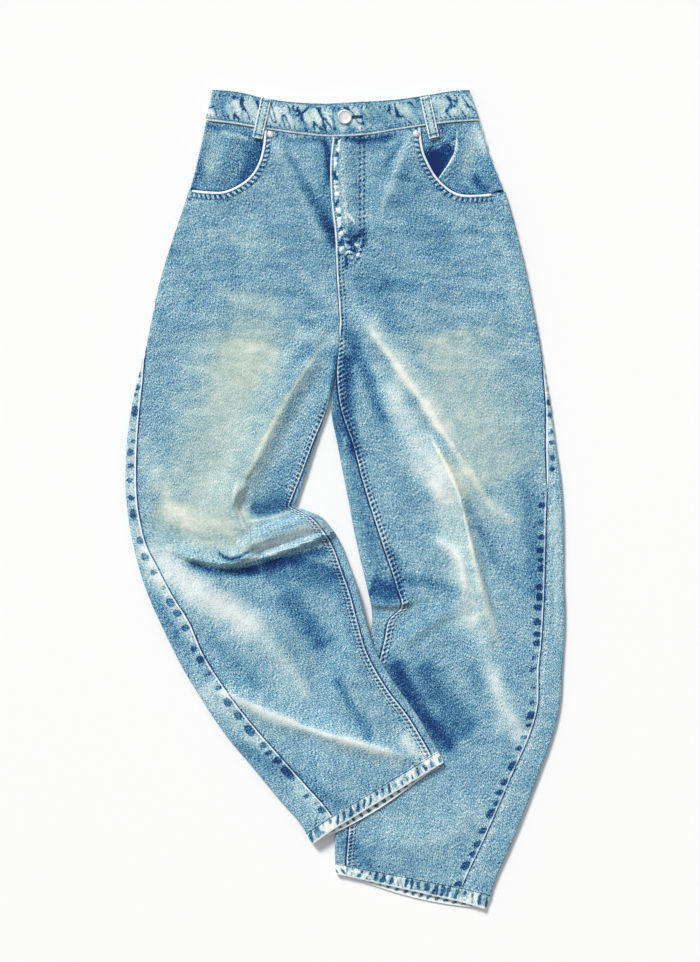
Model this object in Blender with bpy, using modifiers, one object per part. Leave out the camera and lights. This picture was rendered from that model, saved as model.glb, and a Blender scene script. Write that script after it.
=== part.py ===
"""Baggy barrel-leg jeans laid flat on a table, one leg bent at the knee and crossed over the other.

Metres, +Z up. The jeans lie on the XY plane at Z = 0 with the waist towards +Y and the front
facing up, and "right" and "left" are the wearer's, so the right leg is on the -X side.
Each leg is a flattened tube of denim. Its rings run from the crotch-side fold over the front to
the outer fold, and back along the underside. Front and back panels are stretches of those rings.
"""

import math
from collections import namedtuple

import bmesh
import bpy
import numpy as np
from mathutils import Vector

# Cloth
DENIM = 0.0012
HEM_CLOTH = 0.0022
HEM_HEIGHT = 0.015
HEM_STEP = 0.005
BAND_CLOTH = 0.0024
LOOP_CLOTH = 0.0018
FACING_CLOTH = 0.0011
SEAM_GAP = 0.0004
LAYER_GAP = 0.0004
FACING_GAP = 0.0008

# The flattened tube: half of its thickness at the side folds, and how its rise at the seat
# leaves room for the back pockets and loops under it
FOLD_R = 0.0030
QUARTER = FOLD_R * math.pi / 2
CROWN = 0.0003
SEAT_LIFT = 0.0015
SEAT_LIFT_START = 0.180
SEAT_LIFT_FULL = 0.215

# Rise and fly
WAIST_BEND = 0.080
CROTCH_DOWN = 0.266
CROTCH_TURN = 0.028
FLY_LENGTH = 0.150
FLY_UNDERLAP = 0.018
FLY_RAISE = DENIM + LAYER_GAP
FLY_WIDTH = 0.022
FLY_SLOPE = 0.014
FLY_FADE = 0.030
UNDERLAP_END = 0.012

# Seat seams
YOKE_AT_SIDE = 0.040
YOKE_AT_CENTRE = 0.070
YOKE_FADE = 0.100

# Where the right leg rides up over the left one
RIDE_HEIGHT = 2 * FOLD_R + CROWN + 0.0012
RIDE_RAMP = 0.042
RIDE_REACH = 0.056
RIDE_Y_START = -0.060
RIDE_Y_FULL = -0.135

# Waistband
BAND_TOP = SEAT_LIFT + 0.0059
BAND_FOLD_R = 0.00295
LAP_LENGTH = 0.036
LAP_RAISE = BAND_CLOTH + LAYER_GAP
LAP_SLOPE = 0.014
LAP_CLEAR = 0.0015

# Metal
BUTTON_AT = (-0.001, 0.465)
BUTTON_RADIUS = 0.0090
BUTTON_CAP = 0.0030
BUTTON_DISH = 0.0004
BUTTON_SHOULDER = 0.0005
BUTTON_WALL_TOP = 0.0015
SHANK_RADIUS = 0.0026
EYELET_RADIUS = 0.0034
SLOT_LENGTH = 0.022
SLOT_WIDTH = 0.0030
RIVET_RADIUS = 0.0043
RIVET_HEIGHT = 0.0016
RIVET_SEAT = 0.0009
RIVETS = {"right": (-0.0915, 0.4440), "left": (0.0860, 0.4445)}

# One row for each ring of a leg: how far down the leg it lies, its two fold edges in plan, and
# how far the back panel wraps over each fold onto the front before it meets the seam
Ring = namedtuple("Ring", "down outer_x outer_y inner_x inner_y side_wrap inseam_wrap")

RINGS = {
    "right": [
        Ring(0.000, -0.171, 0.461, -0.016, 0.441, 0.000, 0.000),
        Ring(0.041, -0.181, 0.415, -0.019, 0.407, 0.000, 0.000),
        Ring(0.084, -0.193, 0.369, -0.018, 0.367, 0.000, 0.000),
        Ring(0.133, -0.210, 0.318, -0.013, 0.320, 0.000, 0.000),
        Ring(0.183, -0.226, 0.267, -0.011, 0.273, 0.000, 0.000),
        Ring(0.231, -0.237, 0.215, -0.008, 0.228, 0.000, 0.000),
        Ring(0.266, -0.244, 0.182, -0.007, 0.193, 0.001, 0.000),
        Ring(0.304, -0.254, 0.145, -0.012, 0.154, 0.008, 0.000),
        Ring(0.346, -0.262, 0.108, -0.022, 0.110, 0.012, 0.002),
        Ring(0.387, -0.267, 0.069, -0.036, 0.068, 0.014, 0.005),
        Ring(0.427, -0.269, 0.032, -0.049, 0.027, 0.015, 0.007),
        Ring(0.457, -0.268, 0.001, -0.058, -0.001, 0.015, 0.009),
        Ring(0.473, -0.266, -0.018, -0.060, -0.0095, 0.015, 0.009),
        Ring(0.482, -0.264, -0.034, -0.051, -0.0130, 0.016, 0.011),
        Ring(0.503, -0.259, -0.058, -0.031, -0.021, 0.017, 0.013),
        Ring(0.530, -0.251, -0.090, -0.016, -0.037, 0.024, 0.013),
        Ring(0.559, -0.239, -0.124, -0.004, -0.057, 0.029, 0.013),
        Ring(0.591, -0.223, -0.159, 0.005, -0.081, 0.034, 0.013),
        Ring(0.632, -0.202, -0.202, 0.016, -0.112, 0.032, 0.013),
        Ring(0.672, -0.178, -0.242, 0.025, -0.146, 0.033, 0.013),
        Ring(0.720, -0.146, -0.289, 0.037, -0.185, 0.035, 0.013),
        Ring(0.769, -0.112, -0.330, 0.059, -0.224, 0.036, 0.013),
        Ring(0.817, -0.079, -0.370, 0.085, -0.260, 0.038, 0.012),
        Ring(0.856, -0.056, -0.396, 0.107, -0.296, 0.039, 0.012),
        Ring(0.883, -0.041, -0.419, 0.120, -0.321, 0.040, 0.012),
    ],
    "left": [
        Ring(0.000, 0.164, 0.461, -0.016, 0.441, 0.000, 0.000),
        Ring(0.039, 0.178, 0.418, -0.019, 0.407, 0.000, 0.000),
        Ring(0.082, 0.195, 0.374, -0.018, 0.367, 0.000, 0.000),
        Ring(0.132, 0.209, 0.323, -0.013, 0.320, 0.000, 0.000),
        Ring(0.181, 0.221, 0.273, -0.011, 0.273, 0.000, 0.000),
        Ring(0.228, 0.231, 0.224, -0.008, 0.228, 0.000, 0.000),
        Ring(0.266, 0.239, 0.181, -0.007, 0.193, 0.001, 0.000),
        Ring(0.302, 0.244, 0.151, -0.011, 0.154, 0.004, 0.002),
        Ring(0.345, 0.251, 0.110, -0.018, 0.110, 0.008, 0.014),
        Ring(0.390, 0.257, 0.065, -0.010, 0.065, 0.014, 0.021),
        Ring(0.433, 0.263, 0.023, -0.002, 0.023, 0.019, 0.024),
        Ring(0.478, 0.266, -0.020, 0.007, -0.023, 0.023, 0.029),
        Ring(0.521, 0.267, -0.063, 0.016, -0.066, 0.025, 0.034),
        Ring(0.564, 0.267, -0.106, 0.026, -0.109, 0.026, 0.038),
        Ring(0.590, 0.268, -0.131, 0.031, -0.134, 0.028, 0.038),
        Ring(0.606, 0.268, -0.151, 0.032, -0.146, 0.029, 0.024),
        Ring(0.633, 0.267, -0.179, 0.029, -0.173, 0.030, 0.020),
        Ring(0.665, 0.265, -0.209, 0.021, -0.207, 0.031, 0.020),
        Ring(0.707, 0.262, -0.252, 0.012, -0.246, 0.029, 0.020),
        Ring(0.749, 0.253, -0.291, 0.003, -0.289, 0.031, 0.020),
        Ring(0.792, 0.237, -0.334, -0.005, -0.329, 0.034, 0.020),
        Ring(0.840, 0.218, -0.384, -0.012, -0.371, 0.036, 0.020),
        Ring(0.884, 0.199, -0.430, -0.013, -0.411, 0.037, 0.018),
        Ring(0.921, 0.181, -0.473, -0.013, -0.439, 0.038, 0.016),
        Ring(0.943, 0.172, -0.4995, -0.012, -0.458, 0.038, 0.015),
    ],
}

# One row for each fold that stands up from the front: three points along its crest, its height,
# how far it falls away on each side, seen from above along the path, how flat its crest is
# (1 is a sharp crest, 3 a flat one), and the share of its width that is left at the last point
Fold = namedtuple("Fold", "name x0 y0 x1 y1 x2 y2 height on_left on_right crest narrowing")

FOLDS = {
    "right": [
        Fold("hip crease", -0.089, 0.436, -0.052, 0.376, -0.021, 0.315, 0.0030, 0.016, 0.040, 1.7, 1.0),
        Fold("pocket edge", -0.097, 0.440, -0.112, 0.386, -0.175, 0.366, 0.0022, 0.030, 0.012, 2.0, 1.0),
        Fold("thigh crease", -0.040, 0.174, -0.078, 0.110, -0.126, 0.013, 0.0085, 0.022, 0.050, 1.6, 1.0),
        Fold("thigh swell", -0.190, 0.242, -0.165, 0.145, -0.170, 0.035, 0.0025, 0.060, 0.055, 2.0, 1.0),
        Fold("knee curl", -0.124, 0.018, -0.138, -0.010, -0.118, -0.046, 0.0100, 0.009, 0.045, 1.8, 1.0),
        Fold("knee side", -0.238, 0.035, -0.208, -0.008, -0.159, -0.057, 0.0035, 0.030, 0.030, 1.8, 1.0),
        Fold("knee pleat", -0.016, -0.018, -0.076, -0.038, -0.124, -0.055, 0.0130, 0.022, 0.020, 3.2, 0.5),
        Fold("knee lip", -0.102, -0.057, -0.146, -0.078, -0.204, -0.069, 0.0090, 0.008, 0.034, 1.6, 0.7),
        Fold("shin swell", -0.178, -0.085, -0.114, -0.116, -0.053, -0.191, 0.0075, 0.026, 0.060, 1.7, 0.8),
        Fold("shin side", 0.008, -0.173, 0.020, -0.221, 0.048, -0.276, 0.0025, 0.014, 0.022, 1.8, 1.0),
        Fold("ankle crease", -0.151, -0.231, -0.056, -0.275, 0.076, -0.313, 0.0060, 0.032, 0.026, 1.5, 0.8),
    ],
    "left": [
        Fold("hip crease", 0.084, 0.436, 0.067, 0.398, 0.049, 0.358, 0.0024, 0.020, 0.020, 1.7, 1.0),
        Fold("pocket edge", 0.090, 0.440, 0.110, 0.385, 0.170, 0.362, 0.0022, 0.012, 0.030, 2.0, 1.0),
        Fold("thigh crease", 0.014, 0.223, 0.093, 0.115, 0.174, -0.014, 0.0070, 0.040, 0.022, 1.4, 1.0),
        Fold("inner swell", 0.047, 0.138, 0.091, 0.057, 0.130, -0.002, 0.0045, 0.020, 0.040, 1.8, 1.0),
        Fold("thigh swell", 0.176, 0.254, 0.188, 0.157, 0.195, 0.059, 0.0025, 0.050, 0.060, 2.0, 1.0),
        Fold("knee crease", 0.107, 0.073, 0.141, -0.008, 0.178, -0.168, 0.0080, 0.014, 0.032, 1.5, 1.0),
        Fold("knee tuck", 0.113, -0.048, 0.140, -0.082, 0.148, -0.138, 0.0045, 0.010, 0.028, 1.6, 1.0),
        Fold("knee break", 0.030, -0.128, 0.054, -0.130, 0.086, -0.124, 0.0050, 0.030, 0.007, 1.5, 1.0),
        Fold("shin tuck", 0.070, -0.172, 0.101, -0.151, 0.130, -0.131, 0.0030, 0.016, 0.016, 1.8, 1.0),
        Fold("shin swell", 0.150, -0.173, 0.188, -0.228, 0.223, -0.280, 0.0050, 0.030, 0.034, 1.8, 1.0),
        Fold("ankle swell", 0.042, -0.430, 0.103, -0.417, 0.165, -0.368, 0.0025, 0.040, 0.040, 2.0, 1.0),
    ],
}

# What the pocket facing does in the opening: hollows beside the pocket edge and swells away from it.
# Its two turns are how far from the side fold each starts, and how wide it is.
FACING_FOLDS = {
    "right": [
        Fold("swell", -0.140, 0.445, -0.148, 0.415, -0.160, 0.385, 0.0030, 0.022, 0.022, 2.0, 1.0),
        Fold("hollow", -0.106, 0.430, -0.118, 0.402, -0.150, 0.382, -0.0013, 0.016, 0.016, 2.0, 1.0),
    ],
    "left": [
        Fold("swell", 0.134, 0.445, 0.133, 0.420, 0.118, 0.395, 0.0032, 0.026, 0.007, 1.6, 1.0),
        Fold("side swell", 0.166, 0.440, 0.168, 0.415, 0.176, 0.385, 0.0022, 0.018, 0.018, 2.0, 1.0),
    ],
}
FACING_WIDTH = 0.092
FACING_DEPTH = 0.094
FACING_SIDE_DEPTH = {"right": 0.0755, "left": 0.0795}
FACING_SIDE_INSET = 0.0009
FACING_FOOT_TURN = (0.021, 0.009)
FACING_RISE_TURN = (0.012, 0.008)

# The edge of each pocket opening, from the waist seam down and out past the side seam
POCKET_EDGES = {
    "right": [
        (-0.098, 0.460),
        (-0.100, 0.430),
        (-0.107, 0.406),
        (-0.121, 0.388),
        (-0.145, 0.375),
        (-0.168, 0.374),
        (-0.210, 0.379),
    ],
    "left": [
        (0.090, 0.460),
        (0.093, 0.431),
        (0.099, 0.412),
        (0.113, 0.389),
        (0.135, 0.372),
        (0.163, 0.370),
        (0.210, 0.376),
    ],
}

# The waistband's lower and upper edges in plan, from the right side fold to the left one
BandStation = namedtuple("BandStation", "lower_x lower_y upper_x upper_y")

BAND = [
    BandStation(-0.171, 0.4613, -0.162, 0.500),
    BandStation(-0.141, 0.4578, -0.132, 0.497),
    BandStation(-0.107, 0.4523, -0.097, 0.489),
    BandStation(-0.062, 0.4455, -0.056, 0.484),
    BandStation(-0.016, 0.4413, -0.016, 0.483),
    BandStation(0.024, 0.4434, 0.024, 0.485),
    BandStation(0.066, 0.4503, 0.064, 0.488),
    BandStation(0.108, 0.4566, 0.099, 0.493),
    BandStation(0.140, 0.4600, 0.130, 0.498),
    BandStation(0.164, 0.4613, 0.151, 0.4995),
]
BAND_CENTRE = 4
BAND_COLUMNS = 46

# Belt loops: where the middle of each end lies, on the front or on the back
Loop = namedtuple("Loop", "name top_x top_y foot_x foot_y face")

LOOP_WIDTH = 0.0125
LOOP_BOW = 0.0012
LOOP_FOOT_RISE = 0.0012
LOOP_FOOT_START = 0.62
LOOP_FOOT_SHARE = 0.2
LOOPS = [
    Loop("belt_loop_right_front", -0.0965, 0.4885, -0.1075, 0.4395, "front"),
    Loop("belt_loop_left_front", 0.0970, 0.4900, 0.1080, 0.4400, "front"),
    Loop("belt_loop_right_back", -0.1100, 0.4900, -0.1140, 0.4370, "back"),
    Loop("belt_loop_centre_back", -0.0160, 0.4820, -0.0160, 0.4290, "back"),
    Loop("belt_loop_left_back", 0.0980, 0.4900, 0.1050, 0.4370, "back"),
]

# Back patch pockets
POCKET_WIDTH = 0.132
POCKET_SIDE = 0.118
POCKET_DROP = 0.026
POCKET_TAPER = 0.94
POCKET_CENTRES = {"right": (-0.104, 0.356, 4.0), "left": (0.076, 0.356, -4.0)}

# What the pocket opening and the buttonhole are cut with reaches clear of the cloth
OPENING_SIDE = 0.30
OPENING_TOP = 0.52
OPENING_LOW = -0.01
OPENING_HIGH = 0.06
BUTTONHOLE_HIGH = 0.03

# Mesh spacing, how much closer columns lie round the folds, and the step from which a surface's
# slope is read. Front and back share the rings below the yoke, so that their seams run parallel.
FRONT_COLUMNS = 16
FACING_COLUMNS = 12
FRONT_CROWDING = 5.0
BACK_CROWDING = 20.0
FACING_CROWDING = 4.0
CROWDED_REACH = 0.004
TURNED_STEPS = 24
SAME_POINT = 0.00001
BACK_COLUMNS = {"right": 15, "left": 12}
NEARBY = 0.0001
RingZone = namedtuple("RingZone", "start end spacing")
ZONES = {
    "right": [
        RingZone(0.000, YOKE_AT_CENTRE, 0.024),
        RingZone(YOKE_AT_CENTRE, 0.235, 0.028),
        RingZone(0.235, 0.300, 0.013),
        RingZone(0.300, 0.440, 0.024),
        RingZone(0.440, 0.600, 0.010),
        RingZone(0.600, 0.868, 0.022),
        RingZone(0.868, 0.883, 0.0075),
    ],
    "left": [
        RingZone(0.000, YOKE_AT_CENTRE, 0.024),
        RingZone(YOKE_AT_CENTRE, 0.235, 0.028),
        RingZone(0.235, 0.300, 0.013),
        RingZone(0.300, 0.570, 0.024),
        RingZone(0.570, 0.620, 0.010),
        RingZone(0.620, 0.928, 0.023),
        RingZone(0.928, 0.943, 0.0075),
    ],
}

ACROSS = {"right": -1.0, "left": 1.0}


def smooth(value):
    """0 below 0, 1 above 1, and a smooth rise between."""
    t = np.clip(value, 0.0, 1.0)
    return t * t * (3.0 - 2.0 * t)


def through(stops, values, at):
    """A smooth curve through values at their stops, read at many places."""
    stops, values, at = (np.asarray(x, float) for x in (stops, values, at))
    slopes = np.gradient(values, stops)
    i = np.clip(np.searchsorted(stops, at, side="right") - 1, 0, len(stops) - 2)
    width = stops[i + 1] - stops[i]
    t = (at - stops[i]) / width
    return (
        values[i] * (1 + 2 * t) * (1 - t) ** 2
        + slopes[i] * width * t * (1 - t) ** 2
        + values[i + 1] * t * t * (3 - 2 * t)
        + slopes[i + 1] * width * t * t * (t - 1)
    )


def column(rows, name):
    return [getattr(row, name) for row in rows]


def along_leg(side, name, down):
    rows = RINGS[side]
    return through(column(rows, "down"), column(rows, name), down)


def leg_length(side):
    return RINGS[side][-1].down


def waist_seam(x):
    """Where the waistband's lower edge runs, across the jeans."""
    across = np.clip(x, BAND[0].lower_x, BAND[-1].lower_x)
    return through(column(BAND, "lower_x"), column(BAND, "lower_y"), across)


def fold_relief(folds, x, y):
    """The height that the folds add at points in plan."""
    height = np.zeros_like(x)
    steps = np.linspace(0.0, 1.0, 17)
    for fold in folds:
        path_x = through([0, 0.5, 1], [fold.x0, fold.x1, fold.x2], steps)
        path_y = through([0, 0.5, 1], [fold.y0, fold.y1, fold.y2], steps)
        nearest = np.full_like(x, np.inf)
        offset = np.zeros_like(x)
        place = np.zeros_like(x)
        for i in range(len(steps) - 1):
            step_x, step_y = path_x[i + 1] - path_x[i], path_y[i + 1] - path_y[i]
            length = math.hypot(step_x, step_y)
            t = ((x - path_x[i]) * step_x + (y - path_y[i]) * step_y) / length**2
            t = np.clip(t, 0.0, 1.0)
            away_x, away_y = x - path_x[i] - t * step_x, y - path_y[i] - t * step_y
            distance = np.hypot(away_x, away_y)
            closer = distance < nearest
            nearest = np.where(closer, distance, nearest)
            offset = np.where(closer, step_x * away_y - step_y * away_x, offset)
            place = np.where(closer, (i + t) / (len(steps) - 1), place)
        width = np.where(offset > 0, fold.on_left, fold.on_right)
        width = width * (1 + (fold.narrowing - 1) * place)
        share = np.clip(nearest / width, 0.0, 1.0)
        ends = smooth(4 * place + 0.25) * smooth(4 * (1 - place) + 0.25)
        height += fold.height * ends * (1 - share**fold.crest) ** 2
    return height


def edge_distance(side, x, y):
    """How far points lie inside a leg's inner fold edge, negative outside it."""
    rows = [row for row in RINGS[side] if row.down > CROTCH_DOWN]
    best, signed = np.full_like(x, np.inf), np.zeros_like(x)
    for a, b in zip(rows, rows[1:]):
        step_x, step_y = b.inner_x - a.inner_x, b.inner_y - a.inner_y
        length = math.hypot(step_x, step_y)
        t = np.clip(((x - a.inner_x) * step_x + (y - a.inner_y) * step_y) / length**2, 0.0, 1.0)
        away_x, away_y = x - a.inner_x - t * step_x, y - a.inner_y - t * step_y
        distance = np.hypot(away_x, away_y)
        inside = (step_x * away_y - step_y * away_x) / length * ACROSS[side]
        signed = np.where(distance < best, np.where(inside > 0, distance, -distance), signed)
        best = np.minimum(best, distance)
    return signed


def underside(side, x, y):
    """The level of a leg's lowest surface: the table, the seat's lift, or the leg beneath."""
    level = SEAT_LIFT * smooth((y - SEAT_LIFT_START) / (SEAT_LIFT_FULL - SEAT_LIFT_START))
    if side == "right":
        down_leg = smooth((RIDE_Y_START - y) / (RIDE_Y_START - RIDE_Y_FULL))
        over_left = smooth((edge_distance("left", x, y) + RIDE_REACH) / RIDE_RAMP)
        level = level + RIDE_HEIGHT * down_leg * over_left
    return level


def fly_rise(side, down, inward):
    """The left front stands over the right front's underlap along the fly."""
    if side == "right":
        return np.zeros_like(inward)
    beside = 1 - smooth((inward - FLY_WIDTH) / FLY_SLOPE)
    return FLY_RAISE * beside * (1 - smooth((down - FLY_LENGTH - FLY_FADE) / FLY_FADE))


def waist_shift(side, down, x):
    """Bends the topmost rings so that the first one follows the waistband."""
    first = RINGS[side][0]
    slope = (first.outer_y - first.inner_y) / (first.outer_x - first.inner_x)
    straight = first.inner_y + (x - first.inner_x) * slope
    return (waist_seam(x) - SEAM_GAP - straight) * (1 - smooth(down / WAIST_BEND))


def leg_ring(side, down, around, folds):
    """Points on the outside of a leg's rings. around runs in metres from the inner fold's outermost
    line over the front to the outer fold, and on along the underside."""
    outer = np.stack([along_leg(side, "outer_x", down), along_leg(side, "outer_y", down)], -1)
    inner = np.stack([along_leg(side, "inner_x", down), along_leg(side, "inner_y", down)], -1)
    tube = smooth((down - CROTCH_DOWN + CROTCH_TURN) / CROTCH_TURN)
    span = outer - inner
    width = np.linalg.norm(span, axis=-1)
    heading = span / width[..., None]
    inner = inner + heading * (SEAM_GAP * 0.9 - FOLD_R * (1 - tube))[..., None]
    width = np.linalg.norm(outer - inner, axis=-1)
    half = width - 2 * FOLD_R + 2 * QUARTER
    around = np.where(around > 2 * half, around - 2 * half, around)
    over_top = np.where(around <= half, around, 2 * half - around)
    side_sign = np.where(around <= half, 1.0, -1.0)
    near_inner = np.clip(over_top / QUARTER, -1.0, 1.0) * math.pi / 2
    near_outer = np.clip((half - over_top) / QUARTER, -1.0, 1.0) * math.pi / 2
    flat = over_top - QUARTER + FOLD_R
    at_inner = over_top < QUARTER
    at_outer = half - over_top < QUARTER
    tube_place = FOLD_R - FOLD_R * np.cos(near_inner)
    place = np.where(at_inner, tube * tube_place + (1 - tube) * flat, flat)
    lift = np.where(at_inner, tube * np.sin(near_inner) + (1 - tube), 1.0)
    place = np.where(at_outer, width - FOLD_R + FOLD_R * np.cos(near_outer), place)
    lift = np.where(at_outer, np.sin(near_outer), lift) * side_sign
    x = inner[..., 0] + heading[..., 0] * place
    y = inner[..., 1] + heading[..., 1] * place
    y = y + waist_shift(side, down, x)
    low = underside(side, x, y)
    across = np.clip(place / width, 0.0, 1.0)
    top = low + 2 * FOLD_R + CROWN * (1 - (2 * across - 1) ** 4)
    top = top + fold_relief(folds, x, y) + fly_rise(side, down, place - FOLD_R)
    return np.stack([x, y, (top + low) / 2 + lift * (top - low) / 2], -1)


def moved_in(surface, first, second, facing, depth):
    """Points of a surface, moved square to it into the cloth. facing is 1 where the outside faces
    along first x second, the ways in which the two places grow, and -1 where it faces against."""
    by_first = surface(first + NEARBY, second) - surface(first - NEARBY, second)
    by_second = surface(first, second + NEARBY) - surface(first, second - NEARBY)
    outward = np.cross(by_first, by_second) * facing
    outward /= np.linalg.norm(outward, axis=-1, keepdims=True)
    return surface(first, second) - outward * np.expand_dims(np.broadcast_to(depth, first.shape), -1)


def leg_wall(side, down, around, folds, depth, thickness):
    """The outside and the inside of a stretch of a leg's cloth, depth metres inside its rings."""

    def surface(down, around):
        return leg_ring(side, down, around, folds)

    return [moved_in(surface, down, around, ACROSS[side], depth + extra) for extra in (0.0, thickness)]


def half_ring(side, down):
    """From the inner fold's outermost line to the outer fold's, over the front."""
    outer_x, outer_y, inner_x, inner_y = (
        along_leg(side, name, down) for name in ("outer_x", "outer_y", "inner_x", "inner_y")
    )
    tube = smooth((down - CROTCH_DOWN + CROTCH_TURN) / CROTCH_TURN)
    width = np.hypot(outer_x - inner_x, outer_y - inner_y)
    width = width - SEAM_GAP * 0.9 + FOLD_R * (1 - tube)
    return width - 2 * FOLD_R + 2 * QUARTER


def front_limits(side, down):
    """Where a front panel starts and ends around its rings."""
    tube = smooth((down - CROTCH_DOWN + CROTCH_TURN) / CROTCH_TURN)
    gap = SEAM_GAP / 2
    start = (1 - tube) * QUARTER + tube * along_leg(side, "inseam_wrap", down) + gap
    if side == "right":
        start = start - FLY_UNDERLAP * (1 - smooth((down - FLY_LENGTH) / UNDERLAP_END))
    return start, half_ring(side, down) - along_leg(side, "side_wrap", down) - gap


def back_limits(side, down):
    """Where a back panel starts, at the side seam, and ends, at the inseam or centre back."""
    tube = smooth((down - CROTCH_DOWN + CROTCH_TURN) / CROTCH_TURN)
    half = half_ring(side, down)
    gap = SEAM_GAP / 2
    end = tube * along_leg(side, "inseam_wrap", down) - (1 - tube) * QUARTER
    return half - along_leg(side, "side_wrap", down) + gap, 2 * half + end - gap


def spaced_columns(start, end, half, count, crowding):
    """Column places between start and end on each ring, closer together round the folds."""
    fine = np.linspace(0.0, 1.0, 600)
    rows = []
    for first, last, middle in zip(start, end, half):
        places = first + (last - first) * fine
        turn = np.abs((places + middle / 2) % middle - middle / 2)
        weight = 1 + crowding * (1 - smooth((turn - QUARTER) / CROWDED_REACH))
        total = np.concatenate([[0.0], np.cumsum((weight[1:] + weight[:-1]) / 2)])
        rows.append(np.interp(np.linspace(0, total[-1], count + 1), total, places))
    return np.array(rows)


def zone_rows(zones):
    """Ring places down a leg, at each zone's spacing."""
    places = [zones[0].start]
    for zone in zones:
        count = max(1, round((zone.end - zone.start) / zone.spacing))
        places += [zone.start + (zone.end - zone.start) * (i + 1) / count for i in range(count)]
    return np.array(places)


def material(name, colour, roughness, metallic=0.0):
    made = bpy.data.materials.new(name)
    made.use_nodes = True
    shader = made.node_tree.nodes["Principled BSDF"]
    shader.inputs["Base Color"].default_value = (*colour, 1.0)
    shader.inputs["Roughness"].default_value = roughness
    shader.inputs["Metallic"].default_value = metallic
    return made


def wall_object(name, sides, finish, collection):
    """A cloth wall, lofted between the points of its outside and those of its inside."""
    outside, inside = sides
    rows, columns = outside.shape[:2]
    work = bmesh.new()
    outer, inner = (
        [[work.verts.new(point) for point in row] for row in side.tolist()] for side in (outside, inside)
    )
    for r in range(rows - 1):
        for c in range(columns - 1):
            for grid in (outer, inner):
                work.faces.new((grid[r][c], grid[r][c + 1], grid[r + 1][c + 1], grid[r + 1][c]))
    for c in range(columns - 1):
        for r in (0, rows - 1):
            work.faces.new((outer[r][c], outer[r][c + 1], inner[r][c + 1], inner[r][c]))
    for r in range(rows - 1):
        for c in (0, columns - 1):
            work.faces.new((outer[r][c], outer[r + 1][c], inner[r + 1][c], inner[r][c]))
    bmesh.ops.recalc_face_normals(work, faces=work.faces)
    mesh = bpy.data.meshes.new(name)
    work.to_mesh(mesh)
    work.free()
    mesh.materials.append(finish)
    made = bpy.data.objects.new(name, mesh)
    collection.objects.link(made)
    return made


def leg_cloth(side, down):
    """How thick the cloth is down a leg: doubled along the hem."""
    to_hem = down - (leg_length(side) - HEM_HEIGHT)
    return DENIM + (HEM_CLOTH - DENIM) * smooth(to_hem / HEM_STEP)


def flat_solid(name, outline, low, high, collection, finish=None):
    """A closed solid from an outline in plan."""
    curve = bpy.data.curves.new(name, "CURVE")
    curve.dimensions = "2D"
    curve.fill_mode = "BOTH"
    curve.extrude = (high - low) / 2
    spline = curve.splines.new("POLY")
    spline.points.add(len(outline) - 1)
    for point, (x, y) in zip(spline.points, outline):
        point.co = (x, y, 0.0, 1.0)
    spline.use_cyclic_u = True
    drawn = bpy.data.objects.new(name + "_outline", curve)
    drawn.location.z = (low + high) / 2
    collection.objects.link(drawn)
    bpy.context.view_layer.update()
    shown = drawn.evaluated_get(bpy.context.evaluated_depsgraph_get())
    mesh = bpy.data.meshes.new_from_object(shown)
    work = bmesh.new()
    work.from_mesh(mesh)
    bmesh.ops.remove_doubles(work, verts=work.verts, dist=SAME_POINT)
    bmesh.ops.recalc_face_normals(work, faces=work.faces)
    work.to_mesh(mesh)
    work.free()
    made = bpy.data.objects.new(name, mesh)
    made.matrix_world = drawn.matrix_world
    collection.objects.link(made)
    bpy.data.objects.remove(drawn)
    if finish:
        mesh.materials.clear()
        mesh.materials.append(finish)
    return made


def turned(name, profile, place, finish, collection):
    """A solid turned about a vertical axis from an outline of radius and height, top to bottom."""
    mesh = bpy.data.meshes.new(name)
    points = [(radius, 0.0, height) for radius, height in profile]
    mesh.from_pydata(points, [(i, i + 1) for i in range(len(points) - 1)], [])
    mesh.materials.append(finish)
    made = bpy.data.objects.new(name, mesh)
    made.location = place
    collection.objects.link(made)
    screw = made.modifiers.new("turn", "SCREW")
    screw.steps = screw.render_steps = TURNED_STEPS
    screw.use_merge_vertices = True
    screw.merge_threshold = SAME_POINT
    screw.use_smooth_shade = True
    return made


def cut(made, cutter):
    """Takes a cutter out of a solid."""
    boolean = made.modifiers.new("opening", "BOOLEAN")
    boolean.operation = "DIFFERENCE"
    boolean.object = cutter
    cutter.hide_render = True
    cutter.display_type = "WIRE"


def curve_points(stops, count):
    """Points on a smooth curve through stops in plan."""
    at = np.linspace(0, len(stops) - 1, count)
    xs = through(range(len(stops)), [stop[0] for stop in stops], at)
    ys = through(range(len(stops)), [stop[1] for stop in stops], at)
    return list(zip(xs.tolist(), ys.tolist()))


def pocket_cutter(side, cutters):
    """Everything outside the pocket edge, as far as the waist and past the side."""
    beyond = OPENING_SIDE * ACROSS[side]
    edge = curve_points(POCKET_EDGES[side], 22)
    outline = edge + [(beyond, edge[-1][1]), (beyond, OPENING_TOP), (edge[0][0], OPENING_TOP)]
    return flat_solid("pocket_opening_" + side, outline, OPENING_LOW, OPENING_HIGH, cutters)


def front_panel(side, finish, parts, cutters):
    """A leg's front, from the waist seam to the hem, with the pocket opening cut out."""
    downs = zone_rows(ZONES[side])
    start, end = front_limits(side, downs)
    around = spaced_columns(start, end, half_ring(side, downs), FRONT_COLUMNS, FRONT_CROWDING)
    downs = np.repeat(downs[:, None], around.shape[1], axis=1)
    sides = leg_wall(side, downs, around, FOLDS[side], 0.0, leg_cloth(side, downs))
    made = wall_object("front_" + side, sides, finish, parts)
    cut(made, pocket_cutter(side, cutters))


def yoke_line(around_share):
    """How far down the yoke seam lies, from the side seam to the centre back."""
    return YOKE_AT_SIDE + (YOKE_AT_CENTRE - YOKE_AT_SIDE) * around_share


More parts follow.
